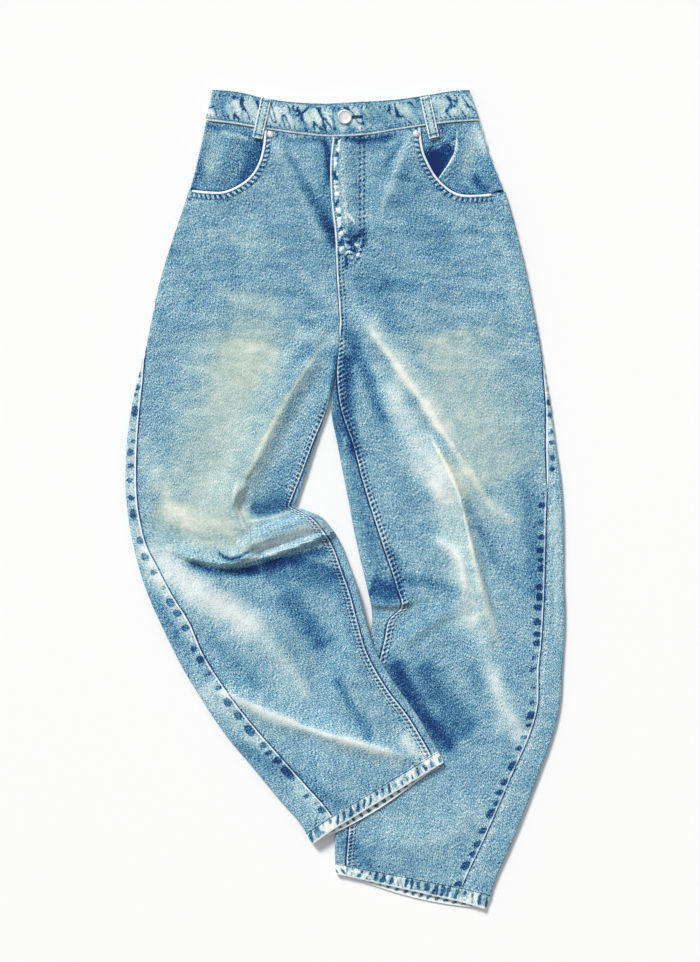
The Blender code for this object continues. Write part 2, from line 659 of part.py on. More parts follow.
def back_grid(side, first_rows, from_yoke):
    """The two sides of a leg's back, whose top edge follows the yoke seam or whose foot does."""
    start, end = back_limits(side, first_rows)
    half = half_ring(side, first_rows)
    around = spaced_columns(start, end, half, BACK_COLUMNS[side], BACK_CROWDING)
    share = (around - start[:, None]) / (end - start)[:, None]
    seam = yoke_line(np.clip(share, 0.0, 1.0))
    downs = np.repeat(first_rows[:, None], around.shape[1], axis=1)
    if from_yoke:
        fade = 1 - smooth((downs - YOKE_AT_CENTRE) / YOKE_FADE)
        downs = downs + fade * (seam + SEAM_GAP / 2 - YOKE_AT_CENTRE)
    else:
        downs = downs / YOKE_AT_CENTRE * (seam - SEAM_GAP / 2)
    start, end = back_limits(side, downs)
    around = start + share * (end - start)
    return leg_wall(side, downs, around, FOLDS[side], 0.0, leg_cloth(side, downs))


def back_panel(side, finish, parts):
    """A leg's back, from the yoke to the hem, wrapped over both folds onto the front."""
    sides = back_grid(side, zone_rows(ZONES[side][1:]), True)
    wall_object("back_" + side, sides, finish, parts)


def yoke(side, finish, parts):
    """The shaped piece between the waistband and the back panel."""
    sides = back_grid(side, zone_rows(ZONES[side][:1]), False)
    wall_object("yoke_" + side, sides, finish, parts)


def facing(side, finish, parts):
    """The denim that shows in the pocket opening. It runs below the front panel, but near the side
    fold it stops at the foot of the opening and comes up to the leg's own surface."""
    rows = np.linspace(0.0, 1.0, 10)
    half = half_ring(side, rows * FACING_DEPTH)
    inner_edge, outer_edge = half - FACING_WIDTH, half - SEAM_GAP / 2
    around = spaced_columns(inner_edge, outer_edge, half, FACING_COLUMNS, FACING_CROWDING)
    to_side = around - half[:, None]
    start, turn = FACING_FOOT_TURN
    foot = FACING_DEPTH + (FACING_SIDE_DEPTH[side] - FACING_DEPTH) * smooth((to_side + start) / turn)
    downs = FACING_GAP + (foot - FACING_GAP) * rows[:, None]
    below = DENIM + FACING_GAP
    start, turn = FACING_RISE_TURN
    depth = below + (FACING_SIDE_INSET - below) * smooth((to_side + start) / turn)
    around = half_ring(side, downs) + to_side
    sides = leg_wall(side, downs, around, FACING_FOLDS[side], depth, FACING_CLOTH)
    wall_object("pocket_facing_" + side, sides, finish, parts)


def band_stops():
    """How far across each station of the waistband lies, along its middle."""
    stops = [0.0]
    for a, b in zip(BAND, BAND[1:]):
        across = (b.lower_x + b.upper_x - a.lower_x - a.upper_x) / 2
        stops.append(stops[-1] + math.hypot(across, (b.lower_y + b.upper_y - a.lower_y - a.upper_y) / 2))
    return stops


def band_plan(place, height):
    """A point of the waistband in plan: place metres from the right fold, height 0 at its lower edge."""
    stops = band_stops()
    place = np.clip(place, 0.0, stops[-1])
    lower_x, lower_y, upper_x, upper_y = (
        through(stops, column(BAND, name), place) for name in BandStation._fields
    )
    return lower_x + (upper_x - lower_x) * height, lower_y + (upper_y - lower_y) * height


def band_half():
    """Half of the way round the waistband."""
    return band_stops()[-1] + BAND_FOLD_R * (math.pi - 2)


def band_centre():
    """Where the centre front lies along the waistband."""
    return band_stops()[BAND_CENTRE] + BAND_FOLD_R * (math.pi / 2 - 1)


def band_strip(along, height):
    """Points on the outside of the waistband. along runs in metres from the right side fold over
    the front to the left one and back under it, and below 0 it goes round the right fold again."""
    turn = BAND_FOLD_R * math.pi / 2
    half, width = band_half(), band_stops()[-1]
    ring = along % (2 * half)
    over_top = np.where(ring <= half, ring, 2 * half - ring)
    angle_right = np.clip(over_top / turn, 0, 1) * math.pi / 2
    angle_left = np.clip((half - over_top) / turn, 0, 1) * math.pi / 2
    place = over_top - turn + BAND_FOLD_R
    place = np.where(over_top < turn, BAND_FOLD_R * (1 - np.cos(angle_right)), place)
    at_left = half - over_top < turn
    place = np.where(at_left, width - BAND_FOLD_R * (1 - np.cos(angle_left)), place)
    lift = np.minimum(np.sin(angle_right), np.sin(angle_left)) * np.where(ring <= half, 1, -1)
    x, y = band_plan(place, height)
    lap_end = band_centre() + LAP_LENGTH - 2 * half
    lap = LAP_RAISE * smooth((lap_end + LAP_CLEAR + LAP_SLOPE - along) / LAP_SLOPE)
    z = (BAND_TOP + SEAT_LIFT) / 2 + lift * (BAND_TOP - SEAT_LIFT) / 2 + lap
    return np.stack([x, y, z], -1)


def waistband(finish, parts, cutters):
    """One folded strip, from the underlap at the front, round the back, to the lap over it."""
    half, centre = band_half(), band_centre()
    fine = centre + LAP_LENGTH - np.linspace(0, 1, 900) * (2 * half + LAP_LENGTH)
    turn = np.abs((fine + half / 2) % half - half / 2)
    lap_start = centre + LAP_LENGTH + LAP_SLOPE / 2 - 2 * half
    weight = 1.0 + 30 * (turn < 2 * BAND_FOLD_R) + 2 * (np.abs(fine - lap_start) < LAP_SLOPE)
    total = np.cumsum(weight)
    columns = np.interp(np.linspace(total[0], total[-1], BAND_COLUMNS + 1), total, fine)
    along, height = np.meshgrid(columns, np.linspace(0.0, 1.0, 3))
    sides = [moved_in(band_strip, along, height, 1.0, depth) for depth in (0.0, BAND_CLOTH)]
    made = wall_object("waistband", sides, finish, parts)
    eyelet = [
        (
            BUTTON_AT[0] + EYELET_RADIUS * math.cos(math.radians(angle)),
            BUTTON_AT[1] + EYELET_RADIUS * math.sin(math.radians(angle)),
        )
        for angle in range(30, 331, 20)
    ]
    slot_end = BUTTON_AT[0] + SLOT_LENGTH
    slot = [(slot_end, BUTTON_AT[1] - SLOT_WIDTH / 2), (slot_end, BUTTON_AT[1] + SLOT_WIDTH / 2)]
    hole_low = BAND_TOP + LAYER_GAP / 2
    cut(made, flat_solid("buttonhole", eyelet + slot, hole_low, BUTTONHOLE_HIGH, cutters))


def belt_loop(loop, finish, parts):
    """A folded strip sewn down at both ends, bowed up between them on the front."""
    along = np.linspace(0.0, 1.0, 9)
    heading = Vector((loop.foot_x - loop.top_x, loop.foot_y - loop.top_y)).normalized()
    x = loop.top_x + (loop.foot_x - loop.top_x) * along
    y = loop.top_y + (loop.foot_y - loop.top_y) * along
    across = np.array([-0.5, 0.5]) * LOOP_WIDTH
    grid_x = x[:, None] + across * -heading.y
    grid_y = y[:, None] + across * heading.x
    if loop.face == "front":
        bow = LOOP_BOW * np.sin(np.pi * along)
        bow = bow + LOOP_FOOT_RISE * smooth((along - LOOP_FOOT_START) / LOOP_FOOT_SHARE)
        level = BAND_TOP + LAYER_GAP + LOOP_CLOTH + bow
        cloth = LOOP_CLOTH
    else:
        level = np.full_like(along, SEAT_LIFT - SEAM_GAP)
        cloth = SEAT_LIFT - SEAM_GAP
    grid_z = np.repeat(level[:, None], 2, axis=1)
    points = np.stack([grid_x, grid_y, grid_z], -1)
    below = points - np.array([0.0, 0.0, cloth])
    wall_object(loop.name, (points, below), finish, parts)


def back_pocket(side, finish, parts):
    """A five-sided patch on the seat, lying flat on the table under the back panel."""
    centre_x, centre_y, turn = POCKET_CENTRES[side]
    half_width = POCKET_WIDTH / 2
    top = POCKET_SIDE / 2
    corners = [
        (-half_width, top),
        (half_width, top),
        (half_width * POCKET_TAPER, -top),
        (0.0, -top - POCKET_DROP),
        (-half_width * POCKET_TAPER, -top),
    ]
    angle = math.radians(turn)
    outline = [
        (
            centre_x + x * math.cos(angle) - y * math.sin(angle),
            centre_y + x * math.sin(angle) + y * math.cos(angle),
        )
        for x, y in corners
    ]
    flat_solid("back_pocket_" + side, outline, 0.0, SEAT_LIFT - SEAM_GAP, parts, finish)


def button(finish, parts):
    """A dished metal cap on a shank that passes through the buttonhole to the underlap."""
    foot = BAND_TOP + SEAM_GAP
    rim = BAND_TOP + LAP_RAISE + SEAM_GAP
    top = rim + BUTTON_CAP
    profile = [
        (0.0, top - BUTTON_DISH),
        (BUTTON_RADIUS * 0.62, top - BUTTON_DISH),
        (BUTTON_RADIUS * 0.80, top),
        (BUTTON_RADIUS * 0.94, top - BUTTON_SHOULDER),
        (BUTTON_RADIUS, top - BUTTON_WALL_TOP),
        (BUTTON_RADIUS * 0.95, rim),
        (SHANK_RADIUS, rim),
        (SHANK_RADIUS, foot),
        (0.0, foot),
    ]
    turned("button", profile, (*BUTTON_AT, 0.0), finish, parts)


def rivet(side, finish, parts):
    """A small domed rivet at the top corner of the pocket."""
    x, y = RIVETS[side]
    relief = float(fold_relief(FOLDS[side], np.array([x]), np.array([y]))[0])
    foot = SEAT_LIFT + 2 * FOLD_R + CROWN + relief + RIVET_SEAT
    profile = [
        (0.0, foot + RIVET_HEIGHT),
        (RIVET_RADIUS * 0.55, foot + RIVET_HEIGHT * 0.92),
        (RIVET_RADIUS * 0.86, foot + RIVET_HEIGHT * 0.62),
        (RIVET_RADIUS, foot + RIVET_HEIGHT * 0.20),
        (RIVET_RADIUS, foot),
        (0.0, foot),
    ]
    turned("rivet_" + side, profile, (x, y, 0.0), finish, parts)


def clear_scene():
    for old in list(bpy.data.objects):
        bpy.data.objects.remove(old)


def new_collection(name):
    made = bpy.data.collections.new(name)
    bpy.context.scene.collection.children.link(made)
    return made


def main():
    clear_scene()
    parts = new_collection("baggy_jeans")
    cutters = new_collection("cutters")
    denim = material("washed_denim", (0.21, 0.37, 0.55), 0.9)
    dark_denim = material("shaded_denim", (0.15, 0.29, 0.46), 0.9)
    metal = material("silver_metal", (0.82, 0.82, 0.80), 0.35, 1.0)
    for side in ("right", "left"):
        front_panel(side, denim, parts, cutters)
        back_panel(side, denim, parts)
        yoke(side, denim, parts)
        facing(side, dark_denim, parts)
        back_pocket(side, denim, parts)
        rivet(side, metal, parts)
    waistband(denim, parts, cutters)
    for loop in LOOPS:
        belt_loop(loop, denim, parts)
    button(metal, parts)


main()
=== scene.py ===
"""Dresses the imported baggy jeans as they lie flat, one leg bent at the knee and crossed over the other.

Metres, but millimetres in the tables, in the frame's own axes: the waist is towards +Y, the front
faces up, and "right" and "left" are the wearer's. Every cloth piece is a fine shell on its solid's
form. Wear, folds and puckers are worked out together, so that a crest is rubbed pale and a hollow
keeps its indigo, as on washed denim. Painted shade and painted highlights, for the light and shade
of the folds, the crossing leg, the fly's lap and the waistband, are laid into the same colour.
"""

import math
from collections import namedtuple

import bpy
import numpy as np
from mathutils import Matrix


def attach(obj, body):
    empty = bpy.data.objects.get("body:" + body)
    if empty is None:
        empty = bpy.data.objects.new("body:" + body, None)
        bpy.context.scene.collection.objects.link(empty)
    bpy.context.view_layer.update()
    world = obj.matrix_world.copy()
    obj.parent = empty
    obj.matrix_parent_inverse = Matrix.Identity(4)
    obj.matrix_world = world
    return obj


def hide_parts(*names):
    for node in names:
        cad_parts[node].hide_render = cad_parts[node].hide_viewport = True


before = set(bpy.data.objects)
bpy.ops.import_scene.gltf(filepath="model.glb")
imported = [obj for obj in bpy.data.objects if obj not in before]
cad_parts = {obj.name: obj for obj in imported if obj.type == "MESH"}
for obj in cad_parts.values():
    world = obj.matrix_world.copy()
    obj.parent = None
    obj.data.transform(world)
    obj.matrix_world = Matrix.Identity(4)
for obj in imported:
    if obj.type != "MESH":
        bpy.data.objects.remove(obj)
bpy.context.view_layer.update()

# Cloth
DENIM = 0.0011
BAND_CLOTH = 0.0022
LOOP_CLOTH = 0.0017
BACK_LOOP_CLOTH = 0.0010
PATCH_CLOTH = 0.0010
HEM_CLOTH = 0.0018
FELL_CLOTH = 0.0007
POCKET_BAND_CLOTH = 0.0014
FLY_EDGE_CLOTH = 0.0009
FACING_CLOTH = 0.0010
SEAM_GAP = 0.0004
LAYER_GAP = 0.0004
FACING_GAP = 0.0008

# The flattened tube of a leg
FOLD_R = 0.0030
QUARTER = FOLD_R * math.pi / 2
CROWN = 0.0003
SEAT_LIFT = 0.0015
SEAT_LIFT_START = 0.180
SEAT_LIFT_FULL = 0.215

# Rise and fly
WAIST_Y = 0.46
CENTRE_X = -0.016
WAIST_BEND = 0.080
CROTCH_DOWN = 0.266
CROTCH_TURN = 0.028
FLY_LENGTH = 0.150
ZIP_FOOT = 0.158
FLY_UNDERLAP = 0.018
FLY_RAISE = 0.0016
FLY_WIDTH = 0.022
FLY_SLOPE = 0.014
YOKE_AT_SIDE = 0.040
YOKE_AT_CENTRE = 0.070

# Where the right leg rides up over the left one
RIDE_HEIGHT = 2 * FOLD_R + CROWN + 0.0012
RIDE_RAMP = 0.042
RIDE_REACH = 0.056
RIDE_Y_START = -0.060
RIDE_Y_FULL = -0.135

# Waistband
BAND_TOP = SEAT_LIFT + 0.0059
BAND_FOLD_R = 0.00295
LAP_LENGTH = 0.036
LAP_RAISE = 0.0028
LAP_SLOPE = 0.014
BAND_HEIGHT = 0.0385

# Metal
BUTTON_AT = (-0.001, 0.465)
BUTTON_RADIUS = 0.0090
BUTTON_CAP = 0.0030
SHANK_RADIUS = 0.0026
EYE_RADIUS = 0.0034
SLOT_LENGTH = 0.022
SLOT_WIDTH = 0.0030
RIVET_RADIUS = 0.0043
RIVET_HEIGHT = 0.0016
RIVET_STAND = 0.0009
RIVETS = {"right": (-0.0915, 0.4440), "left": (0.0860, 0.4445)}


def table(kind, lengths, rows):
    """Named rows of numbers, of which the first few, as many as lengths says, are in millimetres."""
    made = []
    for row in rows:
        name = row[:1] if isinstance(row[0], str) else ()
        numbers = row[len(name):]
        metres = [number / 1000 for number in numbers[:lengths]]
        made.append(kind(*name, *metres, *numbers[lengths:]))
    return made


# One row for each ring of a leg: how far down the leg it lies, its two fold edges in plan, and
# how far the back panel wraps over each fold onto the front before it meets the seam
Ring = namedtuple("Ring", "down outer_x outer_y inner_x inner_y side_wrap inseam_wrap")

RINGS = {}
RINGS["right"] = table(Ring, 7, [
    (0, -171, 461, -16, 441, 0, 0),
    (41, -181, 415, -19, 407, 0, 0),
    (84, -193, 369, -18, 367, 0, 0),
    (133, -210, 318, -13, 320, 0, 0),
    (183, -226, 267, -11, 273, 0, 0),
    (231, -237, 215, -8, 228, 0, 0),
    (266, -244, 182, -7, 193, 1, 0),
    (304, -254, 145, -12, 154, 8, 0),
    (346, -262, 108, -22, 110, 12, 2),
    (387, -267, 69, -36, 68, 14, 5),
    (427, -269, 32, -49, 27, 15, 7),
    (457, -268, 1, -58, -1, 15, 9),
    (473, -266, -18, -60, -9.5, 15, 9),
    (482, -264, -34, -51, -13, 16, 11),
    (503, -259, -58, -31, -21, 17, 13),
    (530, -251, -90, -16, -37, 24, 13),
    (559, -239, -124, -4, -57, 29, 13),
    (591, -223, -159, 5, -81, 34, 13),
    (632, -202, -202, 16, -112, 32, 13),
    (672, -178, -242, 25, -146, 33, 13),
    (720, -146, -289, 37, -185, 35, 13),
    (769, -112, -330, 59, -224, 36, 13),
    (817, -79, -370, 85, -260, 38, 12),
    (856, -56, -396, 107, -296, 39, 12),
    (883, -41, -419, 120, -321, 40, 12),
])
RINGS["left"] = table(Ring, 7, [
    (0, 164, 461, -16, 441, 0, 0),
    (39, 178, 418, -19, 407, 0, 0),
    (82, 195, 374, -18, 367, 0, 0),
    (132, 209, 323, -13, 320, 0, 0),
    (181, 221, 273, -11, 273, 0, 0),
    (228, 231, 224, -8, 228, 0, 0),
    (266, 239, 181, -7, 193, 1, 0),
    (302, 244, 151, -11, 154, 4, 2),
    (345, 251, 110, -18, 110, 8, 14),
    (390, 257, 65, -10, 65, 14, 21),
    (433, 263, 23, -2, 23, 19, 24),
    (478, 266, -20, 7, -23, 23, 29),
    (521, 267, -63, 16, -66, 25, 34),
    (564, 267, -106, 26, -109, 26, 38),
    (590, 268, -131, 31, -134, 28, 38),
    (606, 268, -151, 32, -146, 29, 24),
    (633, 267, -179, 29, -173, 30, 20),
    (665, 265, -209, 21, -207, 31, 20),
    (707, 262, -252, 12, -246, 29, 20),
    (749, 253, -291, 3, -289, 31, 20),
    (792, 237, -334, -5, -329, 34, 20),
    (840, 218, -384, -12, -371, 36, 20),
    (884, 199, -430, -13, -411, 37, 18),
    (921, 181, -473, -13, -439, 38, 16),
    (943, 172, -499.5, -12, -458, 38, 15),
])

# One row for each fold that stands up from the front: three points along its crest, its height,
# how far it falls away on each side, seen from above along the path, how flat its crest is
# (1 is a sharp crest, 3 a flat one), and the share of its width that is left at the last point
Fold = namedtuple("Fold", "name x0 y0 x1 y1 x2 y2 height on_left on_right crest narrowing", defaults=[1.0])

FOLDS = {}
FOLDS["right"] = table(Fold, 9, [
    ("hip crease", -89, 436, -52, 376, -21, 315, 3, 16, 40, 1.7),
    ("pocket edge", -97, 440, -112, 386, -175, 366, 2.2, 30, 12, 2.0),
    ("thigh crease", -40, 174, -78, 110, -126, 13, 8.5, 22, 50, 1.6),
    ("thigh swell", -190, 242, -165, 145, -170, 35, 2.5, 60, 55, 2.0),
    ("knee curl", -124, 18, -138, -10, -118, -46, 10, 9, 45, 1.8),
    ("knee side", -238, 35, -208, -8, -159, -57, 3.5, 30, 30, 1.8),
    ("knee pleat", -16, -18, -76, -38, -124, -55, 13, 22, 20, 3.2, 0.5),
    ("knee lip", -102, -57, -146, -78, -204, -69, 9, 8, 34, 1.6, 0.7),
    ("shin swell", -178, -85, -114, -116, -53, -191, 7.5, 26, 60, 1.7, 0.8),
    ("shin side", 8, -173, 20, -221, 48, -276, 2.5, 14, 22, 1.8),
    ("ankle crease", -151, -231, -56, -275, 76, -313, 6, 32, 26, 1.5, 0.8),
])
FOLDS["left"] = table(Fold, 9, [
    ("hip crease", 84, 436, 67, 398, 49, 358, 2.4, 20, 20, 1.7),
    ("pocket edge", 90, 440, 110, 385, 170, 362, 2.2, 12, 30, 2.0),
    ("thigh crease", 14, 223, 93, 115, 174, -14, 7, 40, 22, 1.4),
    ("inner swell", 47, 138, 91, 57, 130, -2, 4.5, 20, 40, 1.8),
    ("thigh swell", 176, 254, 188, 157, 195, 59, 2.5, 50, 60, 2.0),
    ("knee crease", 107, 73, 141, -8, 178, -168, 8, 14, 32, 1.5),
    ("knee tuck", 113, -48, 140, -82, 148, -138, 4.5, 10, 28, 1.6),
    ("knee break", 30, -128, 54, -130, 86, -124, 5, 30, 7, 1.5),
    ("shin tuck", 70, -172, 101, -151, 130, -131, 3, 16, 16, 1.8),
    ("shin swell", 150, -173, 188, -228, 223, -280, 5, 30, 34, 1.8),
    ("ankle swell", 42, -430, 103, -417, 165, -368, 2.5, 40, 40, 2.0),
])

# What the pocket facing does in the opening: hollows beside the pocket edge and swells away from it
FACING_FOLDS = {}
FACING_FOLDS["right"] = table(Fold, 9, [
    ("swell", -140, 445, -148, 415, -160, 385, 3, 22, 22, 2.0),
    ("hollow", -106, 430, -118, 402, -150, 382, -1.3, 16, 16, 2.0),
])
FACING_FOLDS["left"] = table(Fold, 9, [
    ("swell", 134, 445, 133, 420, 118, 395, 3.2, 26, 7, 1.6),
    ("side swell", 166, 440, 168, 415, 176, 385, 2.2, 18, 18, 2.0),
])
FACING_WIDTH = 0.092
FACING_DEPTH = 0.094
FACING_SIDE_DEPTH = {"right": 0.0755, "left": 0.0795}

# The edge of each pocket opening, from the waist seam down and out past the side seam
POCKET_EDGES = {
    "right": [
        (-0.098, 0.460), (-0.100, 0.430), (-0.107, 0.406), (-0.121, 0.388),
        (-0.145, 0.375), (-0.168, 0.374), (-0.210, 0.379),
    ],
    "left": [
        (0.090, 0.460), (0.093, 0.431), (0.099, 0.412), (0.113, 0.389),
        (0.135, 0.372), (0.163, 0.370), (0.210, 0.376),
    ],
}

# The waistband's lower and upper edges in plan, from the right side fold to the left one
BandStation = namedtuple("BandStation", "lower_x lower_y upper_x upper_y")

BAND = table(BandStation, 4, [
    (-171, 461.3, -162, 500),
    (-141, 457.8, -132, 497),
    (-107, 452.3, -97, 489),
    (-62, 445.5, -56, 484),
    (-16, 441.3, -16, 483),
    (24, 443.4, 24, 485),
    (66, 450.3, 64, 488),
    (108, 456.6, 99, 493),
    (140, 460, 130, 498),
    (164, 461.3, 151, 499.5),
])
BAND_CENTRE = 4

# Belt loops: where the middle of each end lies, on the front or on the back
Loop = namedtuple("Loop", "name top_x top_y foot_x foot_y face")

LOOP_WIDTH = 0.0125
LOOPS = table(Loop, 4, [
    ("belt_loop_right_front", -96.5, 488.5, -107.5, 439.5, "front"),
    ("belt_loop_left_front", 97, 490, 108, 440, "front"),
    ("belt_loop_right_back", -110, 490, -114, 437, "back"),
    ("belt_loop_centre_back", -16, 482, -16, 429, "back"),
    ("belt_loop_left_back", 98, 490, 105, 437, "back"),
])

# Back patch pockets
POCKET_WIDTH = 0.132
POCKET_SIDE = 0.118
POCKET_DROP = 0.026
POCKET_TAPER = 0.06
POCKET_CENTRES = {"right": (-0.104, 0.356, 4.0), "left": (0.076, 0.356, -4.0)}

# Finer creases, which only the visual model has, in the same form
CREASES = {}
CREASES["right"] = table(Fold, 9, [
    ("rivet crease", -86, 433.7, -64, 394.7, -31.1, 317.8, 1, 7.3, 8.5, 1.6),
    ("hip crease", -170.2, 337.3, -110.4, 326.3, -40.9, 337.3, 0.6, 11, 11, 2.0),
    ("hip crease", -162.9, 308, -101.9, 300.7, -28.7, 315.4, 0.6, 11, 11, 2.0),
    ("hip crease", -175.1, 271.4, -116.5, 261.7, -33.5, 278.8, 0.5, 13.4, 13.4, 2.0),
    ("crotch pull", -9.2, 220.2, -33.5, 203.1, -65.3, 178.7, 1.2, 9.8, 9.8, 1.7),
    ("curl edge", -131.1, 22.6, -134.8, -5.5, -117.7, -49.4, 1.4, 6.1, 8.5, 1.6),
    ("pleat foot", -160.4, -83.6, -82.3, -66.5, 10.4, -31.1, 10.4, 16.5, 4.2, 1.0),
    ("eye crease", -155.5, -66.5, -138.5, -73.8, -112.8, -62.8, -3.4, 4.9, 4.9, 1.6),
    ("lip crest", -198.2, -70.1, -162.9, -78.7, -121.4, -72.6, 1.6, 7.3, 4.9, 1.5),
    ("shin ridge", -94.5, -138.5, -70.1, -178.7, -33.5, -233.6, 1.6, 9.8, 17.1, 1.6),
    ("shin pull", -0.6, -172.6, 17.7, -233.6, 48.2, -288.5, 1.2, 11, 11, 1.8),
    ("ankle ridge", -150.7, -231.2, -67.7, -272.7, 81.1, -315.4, 1.4, 8.5, 11, 1.5),
    ("hem pull", -18.9, -328.8, 7.9, -341, 32.3, -358.1, 1, 8.5, 8.5, 1.8),
])
CREASES["left"] = table(Fold, 9, [
    ("rivet crease", 77.5, 438.6, 61.6, 400.8, 44.5, 349.5, 1, 7.3, 7.3, 1.6),
    ("hip crease", 32.3, 332.4, 103.1, 320.2, 178.7, 334.9, 0.6, 11, 11, 2.0),
    ("hip crease", 27.4, 300.7, 105.5, 288.5, 190.9, 300.7, 0.6, 11, 11, 2.0),
    ("hip crease", 32.3, 261.7, 115.3, 251.9, 198.2, 266.6, 0.5, 13.4, 13.4, 2.0),
    ("crease edge", 22.6, 217.8, 88.5, 122.6, 173.9, -14, 1.8, 8.5, 11, 1.4),
    ("knee edge", 104.3, 75, 136, 10.4, 156.8, -75, 2.2, 4.9, 11, 1.4),
    ("knee tail", 149.4, -50.6, 167.7, -111.6, 188.5, -184.8, 1.4, 9.8, 11, 1.6),
    ("knee crease", 112.8, -48.2, 137.2, -70.1, 149.4, -114.1, 1.6, 7.3, 11, 1.5),
    ("break edge", 32.3, -132.4, 56.7, -132.4, 83.6, -126.3, 1.4, 7.3, 4.9, 1.5),
    ("shin crease", 64, -184.8, 105.5, -155.5, 151.9, -128.7, 0.8, 9.8, 9.8, 1.8),
    ("zip ridge", -0.6, 430, 0.6, 376.4, 1.8, 327.6, 0.8, 4.3, 4.3, 1.8),
    ("fly crumple", -5.5, 317.8, 5.5, 306.8, 18.9, 294.6, -1, 4.3, 4.3, 1.8),
    ("fly crumple", 18.9, 320.2, 6.7, 306.8, -5.5, 293.4, -1, 4.3, 4.3, 1.8),
    ("fly crest", -10.4, 300.7, 1.8, 301.9, 12.8, 293.4, 0.7, 3.7, 3.7, 1.8),
])
SHAPE = {side: FOLDS[side] + CREASES[side] for side in FOLDS}

# Where a leg is paler or darker: the wash's fades and rubbed crests, and painted shade and painted
# highlights for the light and shade of the folds, the crossing leg, the fly's lap and the waistband,
# mostly the rows named shade, hollow, under, beside, glow or highlight. Three points along each
# streak, how far it reaches on each side, how much paler it is than plain mid blue, and how warm its
# cast is
Streak = namedtuple("Streak", "name x0 y0 x1 y1 x2 y2 on_left on_right worn tint", defaults=[0.0])

# The fold inside the left pocket opening, from the waistband down to the pocket's edge, along which the
# facing gets a painted highlight and painted shadow
FACING_RIDGE = [(0.1360, 0.4496), (0.1348, 0.4300), (0.1275, 0.4130), (0.1128, 0.3886)]

